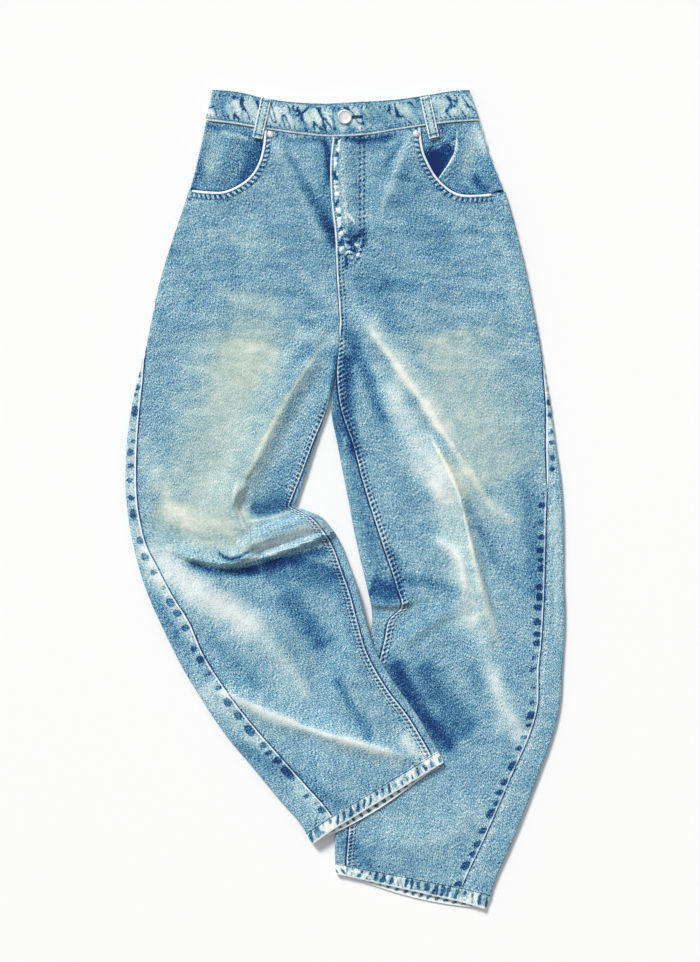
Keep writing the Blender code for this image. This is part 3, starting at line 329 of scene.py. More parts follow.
STREAKS = {}
STREAKS["right"] = table(Streak, 8, [
    ("thigh fade", -116.5, 199.5, -148.2, 89.7, -175.1, -44.5, 95.2, 92.7, 0.19, 0.62),
    ("thigh fade top", -101.9, 220.2, -116.5, 181.2, -131.1, 138.5, 46.4, 51.2, 0.09, 0.4),
    ("outer thigh", -228.7, 144.6, -236.1, 83.6, -236.1, 34.8, 31.7, 31.7, -0.02),
    ("knee fade", -238.5, -11.6, -182.4, -40.9, -128.7, -57.9, 41.5, 29.3, 0.12, 0.5),
    ("knee side glow", -245.8, 76.2, -228.7, 20.1, -189.7, -38.4, 18.3, 15.9, 0.14, 0.2),
    ("shin highlight", -245.8, -50.6, -189.7, -106.7, -101.9, -162.9, 34.2, 41.5, 0.28),
    ("shin highlight core", -226.3, -77.5, -175.1, -116.5, -123.8, -138.5, 18.3, 23.2, 0.13),
    ("shin tail", -121.4, -138.5, -89.7, -182.4, -45.7, -245.8, 17.1, 31.7, 0.13),
    ("shin ray", -101.9, -172.6, -67.7, -203.1, -43.3, -245.8, 11, 11, 0.07),
    ("ankle line", -160.4, -228.7, -67.7, -272.7, 72.6, -312.9, 6.1, 9.8, 0.34),
    ("ankle glow", -182.4, -226.3, -67.7, -275.1, 66.5, -315.4, 24.4, 26.8, 0.11),
    ("ankle side glow", -182.4, -231.2, -150.7, -260.5, -114.1, -297.1, 14.6, 12.2, 0.12),
    ("thigh crease line", -28.7, 187.3, -77.5, 110.4, -125, 17.7, 3.7, 4.9, 0.16, 0.4),
    ("thigh crease glow", -33.5, 178.7, -73.8, 117.7, -106.7, 56.7, 14.6, 11, 0.06, 0.3),
    ("inner thigh glow", -40.9, 129.9, -67.7, 83.6, -94.5, 39.6, 13.4, 13.4, 0.08),
    ("curl line", -131.1, 22.6, -134.8, -5.5, -116.5, -45.7, 2.2, 2.4, 0.2, 0.1),
    ("curl glow", -126.3, 25, -128.7, -1.8, -121.4, -28.7, 9.8, 7.3, 0.12),
    ("pleat top line", -120.2, -27.4, -92.1, -23.8, -55.5, -11.6, 2.7, 3, 0.34),
    ("pleat face", -128.7, -67.7, -75, -50.6, -23.8, -33.5, 15.9, 13.4, 0.33),
    ("pleat upper face", -109.2, -39.6, -73.8, -28.7, -38.4, -16.5, 9.8, 9.8, 0.1),
    ("pleat foot line", -131.1, -79.9, -87.2, -66.5, -31.1, -48.2, 2.4, 2.9, 0.3),
    ("under the pleat line", -123.8, -88.5, -77.5, -75, -21.3, -59.2, 3.7, 14.6, -0.4),
    ("thigh hollow", -116.5, -11.6, -101.9, -14, -65.3, -5.5, 19.5, 11, -0.36),
    ("thigh hollow side", -60.4, 44.5, -79.9, 15.2, -106.7, -6.7, 12.2, 19.5, -0.1),
    ("inner thigh shade", -55.5, 120.2, -79.9, 59.2, -109.2, -1.8, 26.8, 19.5, -0.04),
    ("eye crease", -155.5, -66.5, -138.5, -73.8, -112.8, -62.8, 2.9, 3.4, -0.5, 0.2),
    ("lip shade", -192.1, -77.5, -151.9, -88.5, -106.7, -84.8, 4.9, 11, -0.44),
    ("lip fold", -158, -61.6, -140.9, -72.6, -104.3, -59.2, 2, 3.2, -0.34),
    ("under the pleat", -101.9, -77.5, -55.5, -77.5, -0.6, -94.5, 8.5, 36.6, -0.3),
    ("under the pleat, low", -75, -114.1, -55.5, -145.8, -23.8, -184.8, 24.4, 19.5, -0.26),
    ("knee underside", -18.9, -75, -0.6, -123.8, 17.7, -184.8, 14.6, 14.6, -0.1),
    ("shin shade", -162.9, -172.6, -131.1, -201.9, -101.9, -233.6, 15.9, 17.1, -0.1),
    ("outer shin shade", -236.1, -123.8, -199.5, -172.6, -159.2, -221.4, 17.1, 14.6, -0.12),
    ("ankle shade", -138.5, -297.1, -73.8, -331.2, -0.6, -375.1, 14.6, 17.1, -0.16),
    ("low inseam shade", -14, -216.5, 7.9, -253.1, 32.3, -294.6, 11, 11, -0.22),
    ("rivet ray", -86, 433.7, -64, 394.7, -28.7, 315.4, 7.3, 9.8, 0.14, 0.1),
    ("rise hollow", -75, 425.2, -36, 358.1, -1.8, 300.7, 11, 15.9, -0.2),
    ("rise shade", -28.7, 437.4, -21.3, 364.2, -16.5, 288.5, 11, 15.9, -0.13),
    ("rise hollow foot", -28.7, 347.1, -11.6, 317.8, 0.6, 293.4, 9.8, 14.6, -0.14),
    ("crotch glow", -70.1, 288.5, -33.5, 256.8, 0.6, 227.5, 13.4, 12.2, 0.1),
    ("crotch cloud", -60.4, 205.6, -40.9, 198.2, -11.6, 195.8, 13.4, 13.4, 0.17),
    ("crotch gap", -60.4, 220.2, -50.6, 215.3, -36, 212.9, 7.3, 7.3, -0.14),
    ("seat cloud", -55.5, 154.3, -48.2, 144.6, -50.6, 129.9, 9.8, 9.8, 0.08),
    ("beside the lap", -26.2, 437.4, -21.3, 419.1, -20.1, 386.1, 8.5, 6.1, -0.44),
    ("under the band", -75, 437.4, -48.2, 437.4, -18.9, 438.6, 3.7, 6.1, -0.2),
    ("centre shade", -31.1, 388.6, -40.9, 303.2, -55.5, 242.2, 73.2, 85.4, -0.05),
    ("hip shade", -106.7, 262.9, -73.8, 258, -33.5, 264.1, 12.2, 12.2, -0.08),
    ("side shade", -211.7, 297.1, -199.5, 288.5, -182.4, 288.5, 19.5, 17.1, -0.06),
    ("side shade low", -226.3, 227.5, -206.8, 220.2, -182.4, 222.6, 19.5, 17.1, -0.05),
    ("hip cloud", -167.7, 321.5, -116.5, 315.4, -67.7, 303.2, 17.1, 17.1, 0.06, 0.15),
    ("hip cloud low", -150.7, 251.9, -114.1, 242.2, -82.3, 230, 14.6, 14.6, 0.03, 0.3),
    ("seat shade", -40.9, 187.3, -60.4, 166.5, -84.8, 138.5, 12.2, 12.2, -0.11),
    ("inseam top shade", -9.2, 178.7, -14, 125, -23.8, 71.4, 14.6, 12.2, -0.36),
    ("hem corner", -36, -414.2, -23.8, -406.9, -9.2, -397.1, 12.2, 12.2, 0.34, 0.2),
    ("hem inner corner", 68.9, -287.3, 88.5, -311.7, 112.8, -321.5, 14.6, 14.6, 0.36),
])
STREAKS["left"] = table(Streak, 8, [
    ("thigh fade", 115.3, 205.6, 142.1, 120.2, 183.6, 15.2, 92.7, 68.3, 0.17, 0.62),
    ("crease line", 20.1, 221.4, 92.1, 120.2, 181.2, -14, 6.7, 8.5, 0.23, 0.2),
    ("crease glow", 25, 215.3, 76.2, 149.4, 129.9, 71.4, 22, 14.6, 0.19, 0.2),
    ("inner glow", 49.4, 149.4, 81.1, 76.2, 122.6, 17.7, 24.4, 23.2, 0.27),
    ("inner glow low", 64, 56.7, 95.8, 25, 129.9, -6.7, 17.1, 17.1, 0.16),
    ("inner glow foot", 103.1, 61.6, 151.9, 5.5, 203.1, -36, 18.3, 18.3, 0.13, 0.2),
    ("knee column", 115.3, 27.4, 137.2, -56.7, 156.8, -158, 36.6, 31.7, 0.23, 0.2),
    ("knee line", 104.3, 75, 136, 10.4, 156.8, -75, 2.9, 2.9, 0.34, 0.2),
    ("knee line tail", 149.4, -50.6, 167.7, -111.6, 188.5, -184.8, 6.1, 8.5, 0.18, 0.3),
    ("knee green", 112.8, 56.7, 129.9, 29.9, 151.9, -1.8, 8.5, 3.7, -0.06, 0.9),
    ("knee hollow", 147, -1.8, 164.1, -38.4, 183.6, -82.3, 12.2, 6.1, -0.16, 0.3),
    ("knee white", 112.8, -48.2, 137.2, -70.1, 149.4, -114.1, 7.3, 13.4, 0.18),
    ("knee foot shade", 73.8, -97, 110.4, -104.3, 142.1, -116.5, 13.4, 13.4, -0.2),
    ("knee inner shade", 29.9, -106.7, 49.4, -111.6, 71.4, -109.2, 20.7, 24.4, -0.42),
    ("knee inner shade top", 49.4, -60.4, 59.2, -75, 64, -97, 11, 11, -0.26),
    ("inner leg shade", 7.9, 71.4, 25, -26.2, 44.5, -99.4, 18.3, 15.9, -0.17),
    ("crotch valley", 4.3, 205.6, 21.3, 162.9, 47, 89.7, 12.2, 12.2, -0.26),
    ("crotch edge", 1.8, 181.2, 0.6, 120.2, 10.4, 53.1, 14.6, 12.2, -0.42),
    ("valley tail", 47, 89.7, 66.5, 34.8, 81.1, -20.1, 17.1, 17.1, -0.05),
    ("side shade", 220.2, 17.7, 230, -56.7, 232.4, -123.8, 23.2, 18.3, -0.19),
    ("side edge", 254.4, 22.6, 256.8, -75, 256.8, -172.6, 8.5, 6.1, 0.14),
    ("low side shade", 195.8, -75, 208, -99.4, 217.8, -123.8, 14.6, 14.6, -0.08),
    ("side shade top", 212.9, 71.4, 217.8, 47, 220.2, 10.4, 17.1, 17.1, -0.05),
    ("shin fade", 176.3, -211.7, 194.6, -255.6, 217.8, -297.1, 18.3, 17.1, 0.3),
    ("knee back glow", 151.9, -138.5, 166.5, -175.1, 181.2, -216.5, 19.5, 17.1, 0.12),
    ("beside the crossing leg", 56.7, -197, 88.5, -255.6, 132.4, -306.8, 17.1, 18.3, -0.5),
    ("beside the crossing leg, wide", 86, -201.9, 115.3, -245.8, 151.9, -292.2, 34.2, 19.5, -0.28),
    ("shin valley", 151.9, -197, 164.1, -233.6, 178.7, -270.2, 11, 11, -0.1),
    ("shin glow", 166.5, -233.6, 178.7, -260.5, 190.9, -287.3, 11, 11, 0.1),
    ("ankle fade", 42.1, -394.7, 103.1, -410.5, 176.3, -382.5, 29.3, 26.8, 0.09),
    ("hem inner shade", -1.8, -414.2, 12.8, -431.3, 32.3, -450.8, 18.3, 15.9, -0.2),
    ("rivet ray", 77.5, 438.6, 61.6, 400.8, 42.1, 347.1, 7.3, 7.3, 0.15, 0.2),
    ("rivet shade", 68.9, 437.4, 59.2, 421.5, 47, 403.2, 4.9, 7.3, -0.2),
    ("below the band", -4.3, 439.8, 20.1, 437.4, 64, 443.5, 4.3, 7.3, -0.4),
    ("below the band, wide", 7.9, 439.8, 29.9, 430, 51.9, 430, 11, 11, -0.15),
    ("hip shade", 56.7, 393.4, 90.9, 358.1, 120.2, 291, 41.5, 43.9, -0.09),
    ("hip shade low", 39.6, 271.4, 78.7, 254.4, 129.9, 251.9, 17.1, 17.1, -0.08),
    ("hip shade foot", 54.3, 220.2, 90.9, 210.4, 127.5, 215.3, 15.9, 15.9, -0.08),
    ("hip cloud", 64, 288.5, 115.3, 278.8, 176.3, 288.5, 11, 11, 0.03, 0.1),
    ("fly foot shade", 7.9, 266.6, 27.4, 261.7, 49.4, 254.4, 14.6, 14.6, -0.18),
    ("knee side cloud", 173.9, -1.8, 188.5, -11.6, 203.1, -26.2, 11, 11, 0.1),
    ("hip side glow", 176.3, 349.5, 198.2, 288.5, 212.9, 205.6, 11, 12.2, 0.08),
    ("zip line", -0.6, 430, 0.6, 376.4, 1.8, 327.6, 3.2, 3.2, 0.14, 0.1),
    ("fly glow", -7.9, 386.1, -6.7, 364.2, -5.5, 339.8, 7.3, 6.1, 0.06, 0.1),
    ("fly side shade", 7.9, 425.2, 12.8, 393.4, 12.8, 356.9, 7.3, 7.3, -0.12),
    ("hip shade", 56.7, 376.4, 49.4, 291, 34.8, 205.6, 51.2, 41.5, -0.05),
    ("fly foot glow", 7.9, 234.9, 22.6, 225.1, 39.6, 210.4, 7.3, 7.3, 0.1),
    ("notch shade", -11.6, 154.3, -12.8, 117.7, -5.5, 56.7, 9.8, 8.5, -0.28),
    ("fly crumple shade", 0.6, 325.1, 12.8, 315.4, 27.4, 315.4, 14.6, 13.4, -0.34),
    ("fly crumple, left arm", -10.4, 321.5, -3, 316.6, 5.5, 311.7, 2.7, 3.7, -0.3),
    ("fly crumple, upper arm", 26.2, 331.2, 15.2, 321.5, 4.3, 311.7, 4.6, 4.4, -0.3),
    ("fly crumple, right arm", 3, 312.9, 9.2, 303.2, 15.2, 294.6, 3.2, 3.2, -0.3),
    ("fly crumple, lower arm", 5.5, 311.7, -1.8, 303.2, -9.2, 294.6, 4.1, 3.7, -0.3),
    ("fly crumple, foot", 0.6, 298.3, 0.6, 288.5, 0.6, 278.8, 2.9, 2.9, -0.5),
    ("fly crest, low", -0.6, 301.9, 7.9, 300.1, 15.2, 295.9, 1.8, 1.8, 0.9, 0.1),
    ("fly crest, left", -9.2, 319, -3, 317.2, 4.3, 314.6, 1.8, 1.8, 0.7, 0.1),
    ("fly crest, top", 1.8, 348.3, 6.7, 342.2, 11.6, 336.1, 1.8, 1.8, 0.6, 0.1),
    ("fly crest, right", 14, 298.3, 15.2, 305.6, 17.7, 317.8, 3.7, 3.7, 0.45, 0.1),
    ("fly crest, upper", -7.9, 323.9, -3, 327, 1.8, 323.9, 2.9, 2.9, 0.45, 0.1),
])

# The pocket facings' streaks: a little warm fade, painted shade where the pocket edge and folds shadow them,
# and painted highlights where they swell up
FACING_STREAKS = {}
FACING_STREAKS["right"] = table(Streak, 8, [
    ("top glow", -153.1, 448.3, -138.5, 444.7, -121.4, 436.1, 7.3, 7.3, 0.24, 0.3),
    ("upper glow", -167.7, 449.6, -160.4, 425.2, -165.3, 398.3, 22, 26.8, 0.12, 0.4),
    ("lower glow", -170.2, 413, -167.7, 395.9, -172.6, 381.2, 14.6, 12.2, 0.08, 0.3),
    ("band shade", -170.2, 454.4, -140.9, 449.6, -101.9, 439.8, 4.9, 6.1, -0.16),
    ("edge shade", -104.3, 439.8, -109.2, 410.5, -131.1, 381.2, 22, 17.1, -0.28),
    ("hem glow", -133.6, 445.9, -126.3, 442.2, -119, 437.4, 4.9, 4.9, 0.3),
    ("corner shade", -179.9, 417.8, -176.3, 398.3, -170.2, 378.8, 7.3, 7.3, -0.2),
    ("fold shade", -133.6, 444.7, -119, 425.2, -121.4, 393.4, 12.2, 12.2, -0.12),
    ("side shade", -179.9, 400.8, -184.8, 386.1, -189.7, 376.4, 9.8, 9.8, -0.12),
    ("foot shade", -123.8, 386.1, -150.7, 373.9, -187.3, 373.9, 8.5, 6.1, -0.22),
])
FACING_STREAKS["left"] = table(Streak, 8, [
    ("ridge", 136, 439.8, 133.6, 419.1, 112.8, 389.8, 3.2, 4.4, 0.4),
    ("ridge shade", 105.5, 430, 112.8, 413, 110.4, 395.9, 13.4, 13.4, -0.34),
    ("deep fold", 98.2, 427.6, 105.5, 410.5, 110.4, 391, 9.8, 9.8, -0.3),
    ("side glow", 151.9, 447.1, 154.3, 425.2, 144.6, 393.4, 13.4, 15.9, 0.2, 0.45),
    ("corner glow", 154.3, 456.9, 164.1, 442.2, 171.4, 417.8, 11, 11, 0.34, 0.2),
    ("side shade", 156.8, 393.4, 164.1, 381.2, 173.9, 373.9, 9.8, 9.8, -0.3),
    ("foot shade", 115.3, 381.2, 129.9, 373.9, 151.9, 371.5, 6.1, 6.1, -0.2),
])

ACROSS = {"right": -1.0, "left": 1.0}
LEG_NUMBER = {"right": 0, "left": 1}
NEARBY = 0.0003

# Sewing: how deep the hems are turned, how far from an edge each row of stitches lies, how far apart
# the seams' puckers lie, and the stitches themselves
HEM_DEPTH = 0.0150
HEM_LAP = 0.0004
FELL_START = 0.262
HEM_ROW = 0.0136
FELL_ROWS = (0.0034, 0.0078)
YOKE_ROWS = (0.0032, 0.0082)
SEAT_ROWS = (0.0032, 0.0084)
POCKET_ROWS = (0.0029, 0.0086)
PATCH_ROWS = (0.0026, 0.0078)
FLY_EDGE_ROW = 0.0030
FLY_ROWS = (-0.0024, 0.0024)
BAND_ROWS = (0.0034, BAND_HEIGHT - 0.0018)
SIDE_PUCKER = 0.0155
INSEAM_PUCKER = 0.0125
HEM_PUCKER = 0.0125
HEM_ROPE = 0.0090
WAIST_PUCKER = 0.0085
POCKET_PUCKER = 0.0105
STITCH_PITCH = 0.0032
STITCH_LENGTH = 0.0024
THREAD_THICKNESS = 0.0007
STITCH_SEED = 5


def smooth(value):
    """0 below 0, 1 above 1, and a smooth rise between."""
    t = np.clip(value, 0.0, 1.0)
    return t * t * (3.0 - 2.0 * t)


def near(distance, width):
    """1 at no distance, fading softly to 0 at a width."""
    return 1.0 - smooth(np.abs(distance) / width)


def through(stops, values, at):
    """A smooth curve through values at their stops, read at many places."""
    stops, values, at = (np.asarray(x, float) for x in (stops, values, at))
    slopes = np.gradient(values, stops)
    i = np.clip(np.searchsorted(stops, at, side="right") - 1, 0, len(stops) - 2)
    width = stops[i + 1] - stops[i]
    t = (at - stops[i]) / width
    return (
        values[i] * (1 + 2 * t) * (1 - t) ** 2
        + slopes[i] * width * t * (1 - t) ** 2
        + values[i + 1] * t * t * (3 - 2 * t)
        + slopes[i + 1] * width * t * t * (t - 1)
    )


def column(rows, name):
    return [getattr(row, name) for row in rows]


def along_leg(side, name, down):
    rows = RINGS[side]
    return through(column(rows, "down"), column(rows, name), down)


def leg_length(side):
    return RINGS[side][-1].down


def waist_seam(x):
    """Where the waistband's lower edge runs, across the jeans."""
    across = np.clip(x, BAND[0].lower_x, BAND[-1].lower_x)
    return through(column(BAND, "lower_x"), column(BAND, "lower_y"), across)


def scatter(i, j, seed):
    """An even spread of values from -1 to 1, one for each lattice corner."""
    mixed = np.sin(i * 127.1 + j * 311.7 + seed * 74.7) * 43758.5453
    return 2.0 * (mixed - np.floor(mixed)) - 1.0


def drift(x, y, seed):
    """Smooth random values, mostly within -1 and 1, that change over about one unit."""
    i, j = np.floor(x), np.floor(y)
    across, up = smooth(x - i), smooth(y - j)
    low = scatter(i, j, seed) * (1 - across) + scatter(i + 1, j, seed) * across
    high = scatter(i, j + 1, seed) * (1 - across) + scatter(i + 1, j + 1, seed) * across
    return low * (1 - up) + high * up


def rungs(along, away, pitch, slant, seed):
    """Uneven bars across a seam, from -1 in a trough to 1 on a crest."""
    wander = 0.30 * drift(along / (3.1 * pitch), away * 0 + 0.5, seed)
    wave = np.sin(2 * math.pi * (along / pitch + slant * away / pitch + wander))
    strength = 0.75 + 0.45 * drift(along / (1.7 * pitch), away / 0.006, seed + 5)
    return wave * strength


def curve_points(stops, count):
    """Points on a smooth curve through stops in plan."""
    at = np.linspace(0, len(stops) - 1, count)
    xs = through(range(len(stops)), [stop[0] for stop in stops], at)
    ys = through(range(len(stops)), [stop[1] for stop in stops], at)
    return np.stack([xs, ys], -1)


def nearest_on(line, x, y):
    """How far points lie from a line in plan, above 0 on its left, and how many of its steps along it."""
    best, signed, place = np.full(x.shape, np.inf), np.zeros_like(x), np.zeros_like(x)
    for i, ((ax, ay), (bx, by)) in enumerate(zip(line, line[1:])):
        step_x, step_y = bx - ax, by - ay
        t = np.clip(((x - ax) * step_x + (y - ay) * step_y) / (step_x**2 + step_y**2), 0.0, 1.0)
        away_x, away_y = x - ax - t * step_x, y - ay - t * step_y
        distance = np.hypot(away_x, away_y)
        on_left = step_x * away_y - step_y * away_x > 0
        closer = distance < best
        signed = np.where(closer, np.where(on_left, distance, -distance), signed)
        place = np.where(closer, i + t, place)
        best = np.minimum(best, distance)
    return signed, place


def line_distance(line, x, y):
    """How far points lie from a line in plan, above 0 on its left, and how far along it in metres."""
    signed, place = nearest_on(line, x, y)
    lengths = np.hypot(*np.diff(line, axis=0).T)
    return signed, np.interp(place, range(len(line)), np.append(0.0, np.cumsum(lengths)))


def row_share(row, x, y, crest=1.5, narrowing=1.0, wander=0.0, blunt=False):
    """How strongly a row acts at points in plan: 1 on its path, 0 past its width and its ends."""
    reach = max(row.on_left, row.on_right) * max(1.0, narrowing) * 1.4
    xs, ys = (row.x0, row.x1, row.x2), (row.y0, row.y1, row.y2)
    inside = (x > min(xs) - reach) & (x < max(xs) + reach) & (y > min(ys) - reach) & (y < max(ys) + reach)
    share = np.zeros_like(x)
    if inside.any():
        path = curve_points(list(zip(xs, ys)), 11)
        signed, place = nearest_on(path, x[inside], y[inside])
        nearest, place = np.abs(signed), place / 10
        width = np.where(signed > 0, row.on_left, row.on_right) * (1 + (narrowing - 1) * place)
        width = width * (1 + wander * drift(x[inside] / 0.017, y[inside] / 0.017, 17))
        rise = 9.0 if blunt else 4.0
        ends = smooth(rise * place + 0.35) * smooth(rise * (1 - place) + 0.35)
        share[inside] = ends * (1 - np.clip(nearest / width, 0.0, 1.0) ** crest) ** 2
    return share


def fold_relief(folds, x, y):
    """The height that folds add at points in plan."""
    height = np.zeros_like(x)
    for fold in folds:
        height += fold.height * row_share(fold, x, y, fold.crest, fold.narrowing)
    return height


def underside(side, x, y):
    """The level of a leg's lowest surface: the table, the seat's lift, or the leg beneath."""
    level = SEAT_LIFT * smooth((y - SEAT_LIFT_START) / (SEAT_LIFT_FULL - SEAT_LIFT_START))
    if side == "right":
        down_leg = smooth((RIDE_Y_START - y) / (RIDE_Y_START - RIDE_Y_FULL))
        left_edge = [(ring.inner_x, ring.inner_y) for ring in RINGS["left"] if ring.down > CROTCH_DOWN]
        over_left = smooth((nearest_on(left_edge, x, y)[0] + RIDE_REACH) / RIDE_RAMP)
        level += RIDE_HEIGHT * down_leg * over_left
    return level


def fly_rise(side, down, inward):
    """The left front stands over the right front's underlap along the fly."""
    if side == "right":
        return np.zeros_like(inward)
    beside_fly = 1 - smooth((inward - FLY_WIDTH) / FLY_SLOPE)
    return FLY_RAISE * beside_fly * (1 - smooth((down - FLY_LENGTH - 0.030) / 0.030))


def waist_shift(side, down, x):
    """Bends the topmost rings so that the first one follows the waistband."""
    first = RINGS[side][0]
    slope = (first.outer_y - first.inner_y) / (first.outer_x - first.inner_x)
    straight = first.inner_y + (x - first.inner_x) * slope
    return (waist_seam(x) - SEAM_GAP - straight) * (1 - smooth(down / WAIST_BEND))


def tubed(down):
    """0 down the rise, where the panels meet at the centre, and 1 down a leg, where they fold round it."""
    return smooth((down - CROTCH_DOWN + CROTCH_TURN) / CROTCH_TURN)


def leg_ring(side, down, around, folds):
    """Points on the outside of a leg's rings. around runs in metres from the inner fold's outermost
    line over the front to the outer fold, and on along the underside."""
    outer = np.stack([along_leg(side, "outer_x", down), along_leg(side, "outer_y", down)], -1)
    inner = np.stack([along_leg(side, "inner_x", down), along_leg(side, "inner_y", down)], -1)
    tube = tubed(down)
    span = outer - inner
    width = np.linalg.norm(span, axis=-1)
    heading = span / width[..., None]
    inner += heading * (SEAM_GAP * 0.9 - FOLD_R * (1 - tube))[..., None]
    width = np.linalg.norm(outer - inner, axis=-1)
    half = width - 2 * FOLD_R + 2 * QUARTER
    around = np.where(around > 2 * half, around - 2 * half, around)
    over_top = np.where(around <= half, around, 2 * half - around)
    side_sign = np.where(around <= half, 1.0, -1.0)
    near_inner = np.clip(over_top / QUARTER, -1.0, 1.0) * math.pi / 2
    near_outer = np.clip((half - over_top) / QUARTER, -1.0, 1.0) * math.pi / 2
    flat = over_top - QUARTER + FOLD_R
    at_inner = over_top < QUARTER
    at_outer = half - over_top < QUARTER
    tube_place = FOLD_R - FOLD_R * np.cos(near_inner)
    place = np.where(at_inner, tube * tube_place + (1 - tube) * flat, flat)
    lift = np.where(at_inner, tube * np.sin(near_inner) + (1 - tube), 1.0)
    place = np.where(at_outer, width - FOLD_R + FOLD_R * np.cos(near_outer), place)
    lift = np.where(at_outer, np.sin(near_outer), lift) * side_sign
    x = inner[..., 0] + heading[..., 0] * place
    y = inner[..., 1] + heading[..., 1] * place
    y += waist_shift(side, down, x)
    low = underside(side, x, y)
    across = np.clip(place / width, 0.0, 1.0)
    top = low + 2 * FOLD_R + CROWN * (1 - (2 * across - 1) ** 4)
    top = top + fold_relief(folds, x, y) + fly_rise(side, down, place - FOLD_R)
    return np.stack([x, y, (top + low) / 2 + lift * (top - low) / 2], -1)


def facing_out(surface, first, second, sign):
    """Points of a surface and its outward directions."""
    here = surface(first, second)
    by_first = surface(first + NEARBY, second) - here
    by_second = surface(first, second + NEARBY) - here
    outward = np.cross(by_first, by_second) * sign
    return here, outward / np.linalg.norm(outward, axis=-1, keepdims=True)


def half_ring(side, down):
    """From the inner fold's outermost line to the outer fold's, over the front."""
    outer_x, outer_y, inner_x, inner_y = (
        along_leg(side, name, down) for name in ("outer_x", "outer_y", "inner_x", "inner_y")
    )
    tube = tubed(down)
    width = np.hypot(outer_x - inner_x, outer_y - inner_y)
    width = width - SEAM_GAP * 0.9 + FOLD_R * (1 - tube)
    return width - 2 * FOLD_R + 2 * QUARTER


def front_limits(side, down):
    """Where a front panel starts and ends around its rings."""
    tube = tubed(down)
    gap = SEAM_GAP / 2
    start = (1 - tube) * QUARTER + tube * along_leg(side, "inseam_wrap", down) + gap
    if side == "right":
        start -= FLY_UNDERLAP * (1 - smooth((down - FLY_LENGTH) / 0.012))
    return start, half_ring(side, down) - along_leg(side, "side_wrap", down) - gap


def back_limits(side, down):
    """Where a back panel starts, at the side seam, and ends, at the inseam or centre back."""
    tube = tubed(down)
    half = half_ring(side, down)
    gap = SEAM_GAP / 2
    end = tube * along_leg(side, "inseam_wrap", down) - (1 - tube) * QUARTER
    return half - along_leg(side, "side_wrap", down) + gap, 2 * half + end - gap


def pocket_distance(side, x, y):
    """How far points lie on the cloth's side of the pocket edge, and how far along that edge."""
    signed, along = line_distance(curve_points(POCKET_EDGES[side], 40), x, y)
    return -signed * ACROSS[side], along


def placed(side, x, y):
    """Where points in plan lie on a leg's upper face: how far down it, and how far around."""
    down, around = WAIST_Y - y, np.abs(x - CENTRE_X) + QUARTER

    def plan(down, around):
        return leg_ring(side, down, around, ())[..., :2]

    step = 0.0005
    for _ in range(12):
        here = plan(down, around)
        by_down = (plan(down + step, around) - here) / step
        by_around = (plan(down, around + step) - here) / step
        miss_x, miss_y = x - here[..., 0], y - here[..., 1]
        area = by_down[..., 0] * by_around[..., 1] - by_down[..., 1] * by_around[..., 0]
        down += (miss_x * by_around[..., 1] - miss_y * by_around[..., 0]) / area
        around += (by_down[..., 0] * miss_y - by_down[..., 1] * miss_x) / area
        down = np.maximum(down, -0.02)
    return down, around


# Colour and material

def linear(hex_colour):
    """A screen colour as the linear values that shaders take."""
    values = [int(hex_colour[i : i + 2], 16) / 255 for i in (1, 3, 5)]
    return [v / 12.92 if v <= 0.04045 else ((v + 0.055) / 1.055) ** 2.4 for v in values] + [1.0]


def feed(node, inputs):
    """Gives a node's inputs values or links them to other nodes' outputs."""
    for socket, value in inputs.items():
        if isinstance(value, bpy.types.NodeSocket):
            node.id_data.links.new(value, node.inputs[socket])
        else:
            node.inputs[socket].default_value = value


def add(tree, kind, inputs=None, **settings):
    """Adds a node, sets it and feeds it."""
    made = tree.nodes.new(kind)
    for name, value in settings.items():
        setattr(made, name, value)
    feed(made, inputs or {})
    return made


def sum_of(tree, *terms):
    """Adds up outputs, each times its own factor."""
    total = None
    for output, factor in terms:
        inputs = {0: output, 1: factor, 2: total if total is not None else 0.0}
        total = add(tree, "ShaderNodeMath", inputs, operation="MULTIPLY_ADD").outputs[0]
    return total


def new_material(name):
    made = bpy.data.materials.new(name)
    made.use_nodes = True
    return made, made.node_tree, made.node_tree.nodes["Principled BSDF"]


# Indigo wears from navy through mid blue to the bare cream of the cotton
WASH = [
    (0.0, "#04265f"), (0.1, "#0d4279"), (0.2, "#1e5d92"), (0.3, "#3778a3"), (0.4, "#5392b2"),
    (0.5, "#6da6bf"), (0.6, "#89b7c6"), (0.75, "#b4d0d7"), (0.9, "#dde9ea"), (1.0, "#f0f6f8"),
]
# The same where the wash has left a warm, greenish cast
WARM_WASH = [
    (0.0, "#132f57"), (0.2, "#41687d"), (0.4, "#6d8f99"), (0.5, "#84a3a6"),
    (0.6, "#9bb5b2"), (0.75, "#bccdc4"), (0.9, "#dde3d8"), (1.0, "#f4f5ea"),
]


